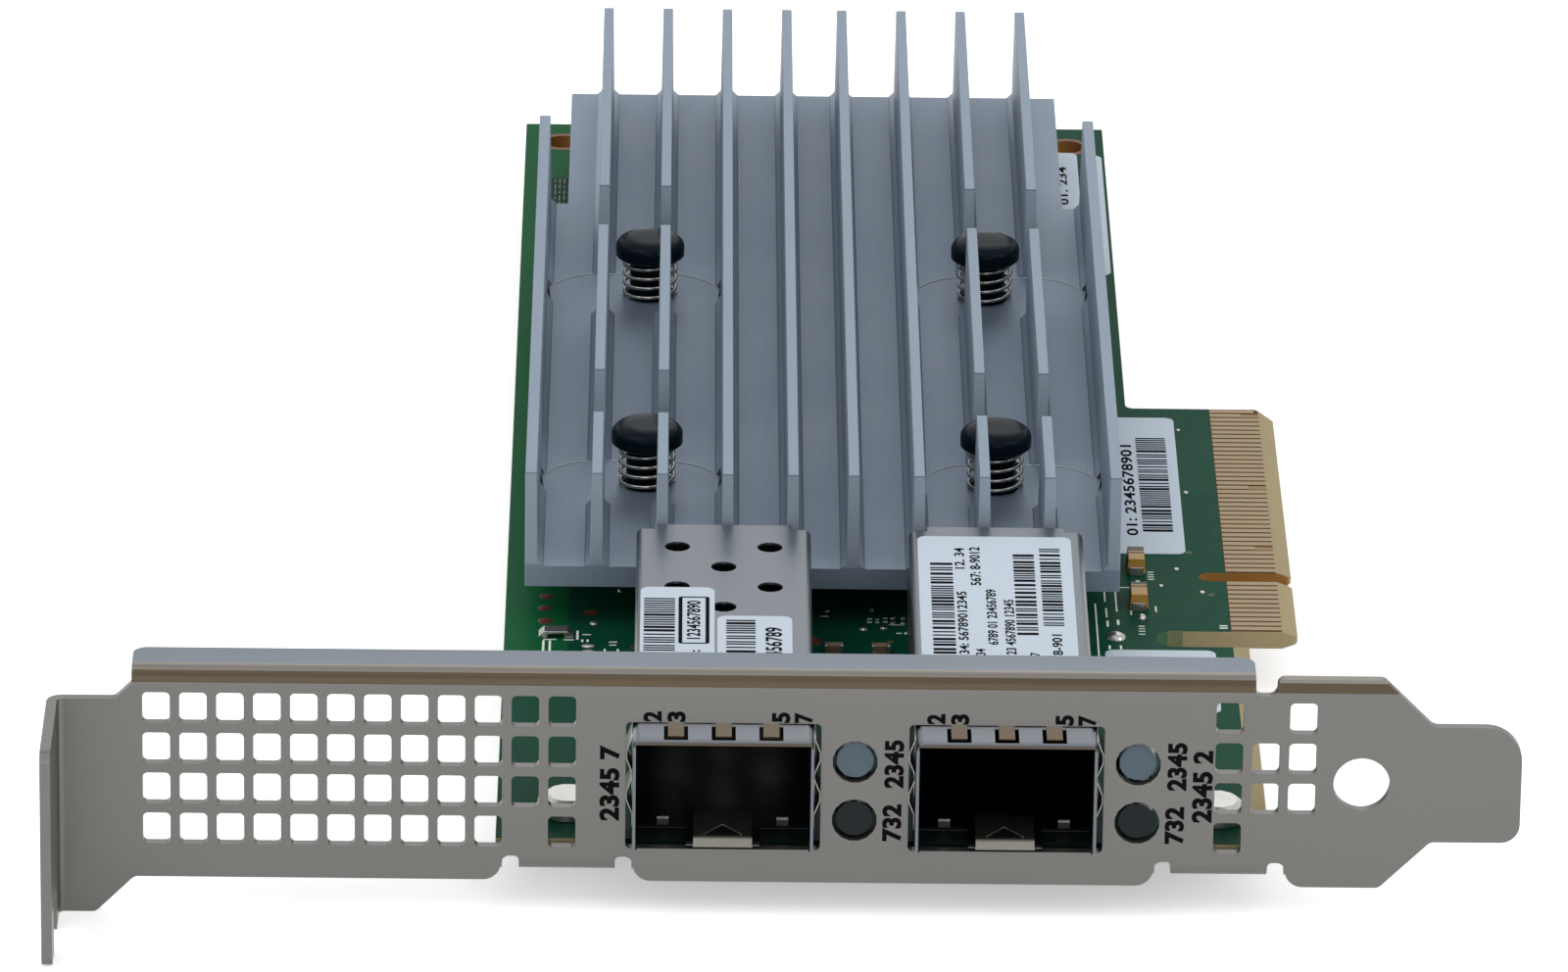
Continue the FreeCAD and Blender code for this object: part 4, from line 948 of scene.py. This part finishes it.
    def _latch(self) -> None:
        """Folds the latch with its lip, its three-cornered opening and the two module stops."""
        whole = [(-self.latch_half, self.latch_half)]
        # painted shade: the ramp and the stops take the darker copy of the sheet
        self._strip("latch_ramp", self.ramp, whole, LATCH)
        self._strip("latch_lip", self.lip, whole, LATCH_LIP)
        stops = [(side * self.stop_offset - self.stop_half, side * self.stop_offset + self.stop_half)
                 for side in (-1, 1)]
        self._strip("module_stop", self.stop, stops, LATCH)
        # painted highlight: the stops' tops in bright tin, over their darker sides
        self._strip("module_stop_highlight", self.stop_highlight, stops, TIN)
        (far_y, far_z), (near_y, near_z) = self.ramp[1:3]
        slope = (far_z - near_z) / (far_y - near_y)
        corners = np.array(self.opening)
        proud, thick, wire = 0.02, 0.03 * MM, 0.05 * MM
        height = near_z + slope * (corners[:, 1] - near_y) + proud
        upper = np.column_stack([corners, height]) * MM + np.array([self.middle, PLATE_FACE, BOARD_TOP])
        points = np.concatenate([upper - np.array([0, 0, thick]), upper])
        # painted shade: a thin black plate on the ramp stands for the dark seen through the latch's three-cornered
        # opening
        add("latch_opening_shade_" + self.name, (points, closed_faces(2, 3)), INK, "black_moulding", smooth=False)
        # painted highlight: a fine bright tin wire along the opening's two slanted sides
        edge = upper[[0, 2, 1]] + np.array([0, 0, proud * MM])
        add("latch_edge_highlight_" + self.name, tube(edge, wire, sides=6), TIN, "cage_nickel")


@dataclass
class Heatsink:
    """The finned extrusion with its push pins and springs.

    closed_end is the share of the turns, and that of the height, which each closed end of a spring takes.
    """

    edge_mm: float = 0.12
    arc_points: int = 13
    dome_points: int = 12
    dome_power: float = 0.5
    cap_radius: float = 3.08 * MM
    cap_height: float = 2.0 * MM
    pole: float = 0.0001 * MM
    spring_radius: float = 2.3 * MM
    wire: float = 0.17 * MM
    turns: float = 4.6
    turn_points: int = 36
    closed_end: Pair = (0.1, 0.05)
    pocket_floor: float = 6.205 * MM
    base_top: float = 6.285 * MM
    level: float = 0.02 * MM
    score_radius: float = 0.06 * MM
    centre_x: float = -40.6 * MM
    pocket_x: Pair = (13.67 * MM, 19.22 * MM)
    pocket_y: Pair = (6.65 * MM, 51.85 * MM)
    pocket_radius: float = 5.0 * MM
    pins: tuple[str, ...] = ("left_front", "left_rear", "right_front", "right_rear")

    def build(self) -> None:
        """Makes the extrusion's rounded edges, and a pin and a spring at each corner."""
        rounded("heatsink", ALUMINIUM, "anodised_aluminium", self.edge_mm, shape=self._level_pockets,
                spare=self._on_base)
        for side, side_name in ((-1, "left"), (1, "right")):
            for y, row_name in zip(self.pocket_y, ("front", "rear")):
                self._score("pocket_line_%s_%s" % (side_name, row_name), side, y)
        for place in self.pins:
            self._pin(place)
            self._spring(place)

    def _level_pockets(self, work: bmesh.types.BMesh) -> None:
        """Brings the milled pockets' floors level with the base, so that only a scored line shows them.

        Args:
            work: the extrusion's mesh.
        """
        for vertex in work.verts:
            if abs(vertex.co.z - self.pocket_floor) < self.level:
                vertex.co.z = self.base_top

    def _on_base(self, edge: bmesh.types.BMEdge) -> bool:
        """Tells the edges whose two ends lie in the base's top, which stay sharp."""
        return all(abs(vertex.co.z - self.base_top) < self.level for vertex in edge.verts)

    def _score(self, name: str, side: int, y: float) -> None:
        """Scores the rear half of a pocket's outline: two quarter circles and the straight between them.

        Args:
            name: of the line.
            side: -1 for the left pocket, 1 for the right one.
            y: the pocket's centre.
        """
        turn = np.linspace(0, np.pi / 2, self.arc_points)
        near, far = self.pocket_x
        right = np.stack([far + self.pocket_radius * np.cos(turn), y + self.pocket_radius * np.sin(turn)], 1)
        left = np.stack([near - self.pocket_radius * np.sin(turn), y + self.pocket_radius * np.cos(turn)], 1)
        plan = np.concatenate([right, left])
        path = np.stack([self.centre_x + side * plan[:, 0], plan[:, 1],
                         np.full(len(plan), self.base_top + self.level)], 1)
        add(name, tube(path, self.score_radius, sides=6), MILLED, "anodised_aluminium")

    def _pin(self, place: str) -> None:
        """Turns a push pin: barb, shaft, and a cap whose dome is a quarter of a superellipse.

        Args:
            place: the pin's corner.
        """
        low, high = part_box("push_pin_" + place)
        centre = ((low[0] + high[0]) / 2, (low[1] + high[1]) / 2)
        tip, rim, under = low[2], high[2] - self.cap_height, -BOARD_TOP
        # radius in millimetres and height in metres, from the barb's tip to the underside of the cap
        shaft = np.array([(0.0, tip), (0.7, tip), (0.95, tip + 0.1 * MM), (2.1, under - 0.85 * MM), (2.1, under),
                          (1.8, under), (1.8, rim), (2.85, rim)])
        shaft[:, 0] *= MM
        dome_base = rim + 0.95 * MM
        skirt = np.array([(self.cap_radius, rim + 0.22 * MM), (self.cap_radius, dome_base - 0.05 * MM)])
        lift = np.linspace(0, np.pi / 2, self.dome_points)
        dome = np.stack([self.cap_radius * np.cos(lift) ** self.dome_power,
                         dome_base + (high[2] - dome_base) * np.sin(lift)], 1)
        profile = np.concatenate([shaft, skirt, dome])
        profile[[0, -1], 0] = self.pole
        add("pin_" + place, revolved(profile, centre), BLACK, "black_moulding", "push_pin_" + place)

    def _spring(self, place: str) -> None:
        """Winds a compression spring whose end turns close up: height eases in and out along the turns.

        Args:
            place: the spring's corner.
        """
        low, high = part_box("pin_spring_" + place)
        t = np.linspace(0, 1, int(self.turns * self.turn_points))
        angle = 2 * np.pi * self.turns * t
        turn_share, rise_share = self.closed_end
        rise = np.interp(t, [0, turn_share, 1 - turn_share, 1], [0, rise_share, 1 - rise_share, 1])
        path = np.stack([(low[0] + high[0]) / 2 + self.spring_radius * np.cos(angle),
                         (low[1] + high[1]) / 2 + self.spring_radius * np.sin(angle),
                         low[2] + self.wire + (high[2] - low[2] - 2 * self.wire) * rise], 1)
        add("spring_" + place, tube(path, self.wire), WIRE, "spring_steel", "pin_spring_" + place)


@dataclass
class BoardParts:
    """The laminate, its contacts and everything soldered on it."""

    relief_end: Pair = (-5.85 * MM, -7.65 * MM)
    relief_y: Pair = (-15.6 * MM, -12.1 * MM)
    relief_depth: float = 4.5 * MM
    band_colour: Colour = (0.028, 0.02, 0.016)
    edge_mm: float = 0.06
    finishes: dict[str, tuple[Finish, str]] = field(default_factory=lambda: {
        "controller_substrate": (SUBSTRATE, "substrate_laminate"),
        "controller_lid": (LID, "lid_nickel"),
        "power_inductors": (FERRITE, "ferrite"),
        "voltage_regulators": (CHIP, "chip_moulding"),
        "flash_memory": (CHIP, "chip_moulding"),
        "clock_oscillator": (CAN, "oscillator_can"),
        "tantalum_terminals": (TIN, "tinned_metal"),
        "ceramic_capacitors": (CERAMIC, "ceramic"),
        "ceramic_capacitor_ends": (TIN, "tinned_metal"),
        "current_shunt": (TIN, "tinned_metal"),
        "status_leds": (RESIN, "led_resin"),
    })

    def build(self) -> None:
        """Dresses the laminate and contacts, and rounds the soldered parts."""
        rounded("circuit_board", self._lacquer(), "board_laminate", self.edge_mm, 1, self._deepen_relief)
        dress("contacts_component_side", GOLD)
        dress("contacts_solder_side", GOLD)
        dress("thermal_pad", PAD)
        for node, (finish, slot) in self.finishes.items():
            rounded(node, finish, slot, self.edge_mm)
        rounded("tantalum_capacitors", self._resin(), "capacitor_resin", self.edge_mm)

    def _lacquer(self) -> SolderMask:
        """The board's finish: painted shade in the bays under the cages, painted light and shadow by the left edge and
        the plate, and tints where copper lies or the lacquer ends.
        """
        through, lit_rear = (-0.77, 0.77), 12 * MM
        # painted shade under the cages, short of their lit rear ends
        bays = tuple(Zone((low[0], low[1], through[0] * MM), (high[0], high[1] - lit_rear, MM), BOARD_SHADE)
                     for low, high in (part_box("cage_port_1"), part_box("cage_port_2")))
        tinted = (
            # painted light on the free strip at the left edge, and painted shadow of the plate on the front edge
            zone_mm((-80, -62.2), (-22, 112), (0.77, 1), (0.003, 0.095, 0.03)),
            zone_mm((-60, -12), (-60, -55.5), (-0.77, 1), (0.004, 0.008, 0.006)),
            # the walls of the corner holes
            *(zone_mm((x - 2, x + 2), (103.6, 107.6), through, (0.22, 0.1, 0.03)) for x in (-64.1, -16.6)),
            # the bare strip beside the contacts, with three paler spots
            zone_mm((-5.7, -1.35), (-12.2, 39.2), (-1, 1), (0.075, 0.042, 0.018)),
            *(zone_mm((-3.1, -1.3), (y - 0.36, y + 0.36), (-1, 1), (0.3, 0.2, 0.11)) for y in (6.5, 20.5, 37.5)),
            # the walls of the key notch, then of the relief slot from its round end out
            zone_mm((-8.2, -0.2), (-1.1, 1.1), (-0.77, 0.75), (0.27, 0.13, 0.035)),
            zone_mm((-20, -9.8), (-15.7, -12.1), through, (0.17, 0.19, 0.1)),
            zone_mm((-20, -11.1), (-15.7, -12.1), through, (0.06, 0.14, 0.07)),
            zone_mm((-5.7, 0.1), (-12.3, -12.1), through, (0.34, 0.28, 0.16)),
        )
        return SolderMask("green_solder_mask", (0.003, 0.05, 0.028), roughness=0.35, contrast=0.2, cloud_scale=70,
                          specular=0.02, zones=bays + tinted)

    def _resin(self) -> Finish:
        """The tantalum capacitors' finish: dark bands, in millimetres from the front and the rear end."""
        low, high = (Vector(corner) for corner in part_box("tantalum_capacitors"))
        bands = [(low.y + start * MM, low.y + end * MM) for start, end in ((1.7, 2.05), (2.3, 3.3))]
        bands += [(high.y - start * MM, high.y - end * MM) for start, end in ((1.0, 0.0), (1.6, 1.25))]
        zones = tuple(Zone((low.x - MM, front, -1.0), (high.x + MM, rear, 1.0), self.band_colour)
                      for front, rear in bands)
        return Finish("tantalum_resin", (0.4, 0.22, 0.045), 0.35, contrast=0.2, cloud_scale=700, zones=zones)

    def _deepen_relief(self, work: bmesh.types.BMesh) -> None:
        """Takes the round end of the relief slot beside the contacts further into the board.

        Args:
            work: the board's mesh.
        """
        near, far = self.relief_end
        front, rear = self.relief_y
        for vertex in work.verts:
            if far < vertex.co.x < near and front < vertex.co.y < rear:
                vertex.co.x -= self.relief_depth


@dataclass
class BoardPrint:
    """Silkscreen, bare rings, lacquered vias and solder beads on the component side, in millimetres.

    A stroke is (x, y, width, length). A land or via is (x, y, radius along X, radius along Y, height).
    """

    strokes: tuple[Stroke, ...] = (
        (-64.25, -17.7, 0.2, 4.2), (-63.7, -17.7, 0.2, 4.2), (-63.7, -15.4, 1.1, 0.16), (-62.1, -15.45, 0.9, 0.16),
        (-61.38, -14.4, 0.2, 1.9), (-60.6, -14.27, 0.75, 0.16), (-60.95, -15.6, 0.2, 0.5), (-60.5, -15.6, 0.2, 0.5),
        (-58.35, -15.85, 0.7, 0.18), (-58.35, -16.5, 0.62, 0.18), (-59.03, -18.3, 0.18, 1.9),
        (-57.92, -18.3, 0.18, 1.9), (-65.45, -18.3, 0.22, 0.6), (-65.05, -18.5, 0.22, 0.6), (-64.75, -18.3, 0.2, 0.5),
        (-40.35, -9.7, 0.7, 0.16), (-34.2, -11.45, 1.4, 0.12), (-33.13, -15.2, 0.14, 3.4),
        (-34.0, -13.3, 0.5, 0.2), (-33.4, -13.3, 0.3, 0.5), (-36.5, -10.2, 0.45, 0.3), (-36.5, -10.9, 0.45, 0.3),
        (-35.85, -10.3, 0.35, 0.25), (-35.85, -10.9, 0.35, 0.25), (-35.15, -10.0, 0.42, 0.25),
        (-35.15, -10.8, 0.42, 0.25), (-17.12, -12.6, 0.14, 12.6), (-16.26, -4.7, 0.14, 2.3), (-16.22, -8.3, 0.14, 2.0),
        (-16.18, -10.7, 0.2, 1.3), (-15.32, -5.4, 0.14, 5.2), (-15.27, -10.4, 0.22, 1.1), (-14.4, -2.62, 1.7, 0.12),
        *((-12.15, y, 0.55, 0.13) for y in (0.85, 0.3, -0.2, -0.75)),
        *((-13.3, y, 0.55, 0.13) for y in (-11.2, -11.75, -12.3, -12.95)),
        (-6.3, -10.95, 0.7, 0.2), (-6.3, -11.45, 0.7, 0.2),
        (-16.16, -15.9, 0.18, 0.8), (-15.2, -15.9, 0.18, 0.8), (-14.1, -8.1, 0.14, 1.2), (-11.95, -7.4, 0.14, 1.2),
    )
    panel: Stroke = (-64.0, 92.2, 2.0, 7.6)
    panel_start: Pair = (-64.65, 95.1)
    panel_step: Pair = (0.42, 1.5)
    panel_grid: tuple[int, int] = (5, 4)
    panel_wide: float = 0.1
    panel_long: float = 1.1
    panel_short: float = 0.5
    lands: tuple[Bead, ...] = (
        *((-60.4, y, 0.62, 0.36, 0.16) for y in (-16.7, -17.95, -19.2)),
        (-60.0, -11.8, 0.34, 0.34, 0.2), (-57.84, -4.5, 0.2, 0.3, 0.2), (-58.45, -18.5, 0.3, 0.45, 0.2),
        (-37.06, -12.5, 0.34, 0.34, 0.22), (-35.34, -12.2, 0.3, 0.3, 0.2), (-34.53, -9.95, 0.22, 0.26, 0.15),
        (-33.67, -9.93, 0.22, 0.26, 0.15), (-34.54, -11.0, 0.22, 0.26, 0.15), (-33.69, -11.0, 0.22, 0.26, 0.15),
        (-40.1, -8.5, 0.2, 0.3, 0.15), (-36.3, -8.2, 0.15, 0.4, 0.12), (-37.8, -18.9, 0.4, 0.3, 0.2),
        (-36.1, -18.3, 0.2, 0.35, 0.2), (-15.55, -13.75, 0.85, 0.85, 0.5), (-13.4, -1.95, 0.42, 0.45, 0.4),
        (-13.25, -9.4, 0.42, 0.45, 0.4), (-8.45, 19.3, 0.24, 0.24, 0.1), (-9.9, 1.7, 0.26, 0.26, 0.1),
        (-11.35, -2.1, 0.22, 0.24, 0.1), (-7.85, -3.45, 0.26, 0.26, 0.1), (-8.6, 34.0, 0.2, 0.2, 0.08),
    )
    vias: tuple[Bead, ...] = (
        (-64.15, -5.9, 0.6, 0.6, 0.05), (-64.24, -8.5, 0.6, 0.6, 0.05), (-64.12, -11.3, 0.66, 0.66, 0.06),
        (-60.27, -9.4, 0.66, 0.66, 0.05), (-41.1, -15.3, 0.5, 0.8, 0.05), (-56.4, -16.9, 0.5, 0.5, 0.05),
    )
    ring_places: tuple[Pair, ...] = ((-64.1, 105.6), (-16.6, 105.6))
    ring_radii: Pair = (1.6 * MM, 2.2 * MM)

    def build(self) -> None:
        """Prints the strokes and adds the rings, vias and beads."""
        prints = {
            "silkscreen": (self.strokes, BOARD_TOP, SILK, "label_paper"),
            "marking_panel": ([self.panel], BOARD_TOP, DARK_PRINT, "chip_moulding"),
            "panel_print": (self._panel_strokes(), BOARD_TOP + INK_DEPTH, PALE_PRINT, "label_paper"),
        }
        for name, (marks, low, finish, slot) in prints.items():
            add(name, printed_marks(marks, low), finish, slot, smooth=False)
        add("solder_lands", solder_beads(self.lands), TIN, "tinned_metal")
        add("covered_vias", solder_beads(self.vias), RUST, "tinned_metal")
        levels = {"top": (BOARD_TOP, BOARD_TOP + INK_DEPTH), "under": (-BOARD_TOP - INK_DEPTH, -BOARD_TOP)}
        for index, (x, y) in enumerate(self.ring_places):
            for face, (low, high) in levels.items():
                ring = washer((x * MM, y * MM), self.ring_radii, low, high)
                add("corner_ring_%s_%d" % (face, index), ring, COPPER, "gold_plating")

    def _panel_strokes(self) -> list[Stroke]:
        """Rows and columns of strokes on the panel; every third one on a slant is short."""
        (left, top), (step_x, step_y) = self.panel_start, self.panel_step
        rows, columns = self.panel_grid
        return [(left + step_x * column, top - step_y * row, self.panel_wide,
                 self.panel_long if (row + column) % 3 else self.panel_short)
                for row in range(rows) for column in range(columns)]


@dataclass
class Labels:
    """Paper labels with rounded corners, bar codes and plain numbers, all in millimetres.

    A bar code is (label, lowest x, highest x, lowest y, highest y). A number is (label, what it reads,
    x of its middle, lowest y, highest y, height of its figures).
    """

    corner: float = 0.8 * MM
    corner_steps: int = 6
    edge_mm: float = 0.02
    weight: float = 0.018
    module: float = 0.24
    steps: tuple[int, ...] = (1, 1, 2)
    first_seed: int = 11
    papers: tuple[str, ...] = ("serial_label", "front_label", "rear_label", "edge_label", "cage_label_port_1",
                               "cage_label_left_port_2", "cage_label_right_port_2")
    codes: tuple[tuple[str, float, float, float, float], ...] = (
        ("serial_label", -12.5, -9.85, 9.5, 32.2),
        ("cage_label_port_1", -31.7, -29.8, -50.5, -21.2),
        ("cage_label_port_1", -24.7, -22.9, -37.0, -19.2),
        ("cage_label_port_1", -22.45, -20.7, -35.5, -17.9),
        ("cage_label_left_port_2", -55.7, -53.1, -50.5, -29.3),
        ("cage_label_right_port_2", -48.85, -46.4, -50.5, -34.1),
    )
    numbers: tuple[tuple[str, str, float, float, float, float], ...] = (
        ("serial_label", "01: 2345678901", -13.4, 9.0, 30.0, 1.0),
        ("cage_label_port_1", "12. 34", -29.2, -22.7, -18.1, 0.85),
        ("cage_label_port_1", "567: 8-9012", -27.9, -26.3, -17.9, 0.9),
        ("cage_label_port_1", "34: 56789012345", -29.15, -41.1, -27.7, 0.85),
        ("cage_label_port_1", "-234", -27.8, -42.6, -40.0, 0.8),
        ("cage_label_port_1", "6789 01 23456789", -26.7, -39.1, -27.2, 0.85),
        ("cage_label_port_1", "01 23 4567890 12345", -25.25, -43.2, -29.4, 0.85),
        ("cage_label_port_1", "567", -23.3, -42.9, -40.7, 0.8),
        ("cage_label_port_1", "678-901", -21.4, -43.2, -36.8, 0.85),
        ("cage_label_left_port_2", "1234567890", -51.55, -38.5, -30.3, 1.15),
        ("cage_label_left_port_2", "12:", -51.45, -43.2, -40.9, 0.9),
        ("cage_label_right_port_2", "3456789", -44.9, -42.9, -35.9, 1.4),
        ("rear_label", "01. 234", -17.2, 90.0, 100.0, 0.8),
        ("edge_label", "567 890 123", -14.4, 75.0, 100.0, 0.7),
    )
    frame_at: Stroke = (-52.65, -50.4, -39.4, -29.5)
    frame_wide: Pair = (0.32, 0.2)

    def build(self) -> None:
        """Cuts every label's corners round and prints on it."""
        for node in self.papers:
            rounded(node, PAPER, "label_paper", self.edge_mm, 1, self._round_corners)
        for index, (node, *span) in enumerate(self.codes):
            self._print("bar_code_%d" % index, node, self._bars(span, index))
        for index, (node, figures, x, low, high, height) in enumerate(self.numbers):
            centre = (x * MM, (low + high) / 2 * MM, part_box(node)[1][2] + INK_DEPTH / 2)
            add_number("number_%d" % index, figures, centre, (high - low, height), Facing.FLAT, self.weight)
        self._print("number_frame", "cage_label_left_port_2", self._frame())

    def _print(self, name: str, node: str, marks: list[Stroke]) -> None:
        """Prints strokes on a label's top."""
        add(name, printed_marks(marks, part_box(node)[1][2]), INK, "black_moulding", smooth=False)

    def _bars(self, span: Stroke, index: int) -> list[Stroke]:
        """Lines up bars: widths and gaps are whole numbers of a module, drawn at random.

        Args:
            span: lowest x, highest x, lowest y and highest y.
            index: the bar code's number, which sets its random draw.

        Returns:
            The middle and size of each bar.
        """
        left, right, low, high = span
        draw = np.random.RandomState(self.first_seed + index)
        count = int((high - low) / (2 * self.module))
        widths, gaps = (self.module * draw.choice(self.steps, count) for _ in range(2))
        ends = np.cumsum(widths + gaps)
        keep = ends < high - low
        middle = high - ends[keep] + widths[keep] / 2
        return [((left + right) / 2, y, right - left, wide) for y, wide in zip(middle, widths[keep])]

    def _frame(self) -> list[Stroke]:
        """Lines up the four sides of the box round a number."""
        left, right, low, high = self.frame_at
        side_wide, end_wide = self.frame_wide
        sides = [(x, (low + high) / 2, side_wide, high - low) for x in (left, right)]
        return sides + [((left + right) / 2, y, right - left, end_wide) for y in (low, high)]

    def _round_corners(self, work: bmesh.types.BMesh) -> None:
        """Rounds the four short upright edges.

        Args:
            work: the label's mesh.
        """
        level = 0.05 * MM
        upright = [edge for edge in work.edges if abs(edge.verts[0].co.z - edge.verts[1].co.z) > level]
        bmesh.ops.bevel(work, geom=upright, offset=self.corner, segments=self.corner_steps, affect="EDGES",
                        profile=0.5, clamp_overlap=True)


# ---------------------------------------------------------------- studio
@dataclass
class Studio:
    """Floor, soft lights and camera. A lamp is (name, place, side in metres, power in watts)."""

    camera_place: Place = (-0.05332, -0.95315, 0.39536)
    yaw: float = math.radians(0.664)
    pitch: float = math.radians(22.08)
    roll: float = math.radians(0.827)
    lens: float = 274.98
    sensor: float = 36.0
    shift: Pair = (-0.0117, 0.0011)
    reach: float = 20.0
    floor_size: float = 8.0
    floor_drop: float = 0.02 * MM
    floor_glow: float = 0.45
    sky_light: float = 0.7
    sky_shown: float = 0.3
    aim: Place = (-0.04, 0.02, 0.0)
    lamps: tuple[tuple[str, Place, float, float], ...] = (
        ("key", (-0.5, -0.35, 0.85), 0.7, 2.3),
        ("fill", (0.65, -0.5, 0.6), 0.6, 2.9),
        ("back", (0.1, 0.9, 0.8), 0.6, 1.3),
        ("front", (-0.1, -1.1, 0.3), 0.7, 1.6),
    )

    def build(self) -> None:
        """Sets the stage."""
        bpy.context.scene.view_settings.view_transform = "Standard"
        self._world()
        self._floor()
        for lamp in self.lamps:
            self._lamp(*lamp)
        self._camera()

    def _seen(self, graph: Graph) -> Socket:
        """Returns 1 for rays that show a background: from the camera, in gloss and through glass."""
        path = graph.node("ShaderNodeLightPath").outputs
        gloss = graph.math("MAXIMUM", path["Is Glossy Ray"], path["Is Transmission Ray"])
        return graph.math("MAXIMUM", path["Is Camera Ray"], gloss)

    def _world(self) -> None:
        """A white surround that lights the card less than it shows."""
        world = bpy.data.worlds.new("studio")
        world.use_nodes = True
        bpy.context.scene.world = world
        graph = Graph(world.node_tree)
        shown = graph.math("MULTIPLY", self._seen(graph), self.sky_shown)
        graph.feed(world.node_tree.nodes["Background"], {
            "Color": (1, 1, 1, 1), "Strength": graph.math("ADD", shown, self.sky_light)})

    def _floor(self) -> None:
        """A pale floor, white to the camera where no shadow falls."""
        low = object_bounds()[0][2] - self.floor_drop
        half = self.floor_size / 2
        points = np.array([(-half, -half, low), (half, -half, low), (half, half, low), (-half, half, low)])
        paper = Finish("floor_paper", (0.9, 0.9, 0.9), 0.9, contrast=0.01, bump=0.0)
        floor = mesh_object("floor", (points, [(0, 1, 2, 3)]), paper, smooth=False)
        tree = paper.material().node_tree
        graph = Graph(tree)
        graph.feed(tree.nodes["Principled BSDF"], {
            "Emission Color": (1, 1, 1, 1),
            "Emission Strength": graph.math("MULTIPLY", self._seen(graph), self.floor_glow)})
        floor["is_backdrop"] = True

    def _lamp(self, name: str, place: Place, size: float, power: float) -> None:
        """Adds a soft square lamp that looks at the card.

        Args:
            name: the lamp's name.
            place: where it hangs.
            size: its side.
            power: in watts.
        """
        data = bpy.data.lights.new(name, "AREA")
        data.size = size
        data.energy = power
        lamp = linked(name, data)
        lamp.location = place
        lamp.rotation_euler = (Vector(self.aim) - Vector(place)).to_track_quat("-Z", "Y").to_euler()

    def _camera(self) -> None:
        """Adds the camera: it looks along the yaw and pitch, then rolls about that line."""
        forward = Vector((math.sin(self.yaw) * math.cos(self.pitch), math.cos(self.yaw) * math.cos(self.pitch),
                          -math.sin(self.pitch)))
        level = Vector((math.cos(self.yaw), -math.sin(self.yaw), 0.0))
        above = level.cross(forward)
        right = level * math.cos(self.roll) + above * math.sin(self.roll)
        up = above * math.cos(self.roll) - level * math.sin(self.roll)
        data = bpy.data.cameras.new("camera")
        data.lens = self.lens
        data.sensor_width = self.sensor
        data.shift_x, data.shift_y = self.shift
        data.clip_end = self.reach
        camera = linked("camera", data)
        turn = Matrix((right, up, -forward)).transposed().to_4x4()
        camera.matrix_world = Matrix.Translation(self.camera_place) @ turn
        bpy.context.scene.camera = camera


def main() -> None:
    """Builds the card's looks, sub-assembly by sub-assembly, and the studio."""
    logging.basicConfig(level=logging.INFO, format="%(name)s: %(message)s")
    for assembly in (Bracket(), Port("port_1"), Port("port_2"), Heatsink(), BoardParts(), BoardPrint(),
                     Labels()):
        assembly.build()
    Studio().build()


if __name__ == "__main__":
    main()
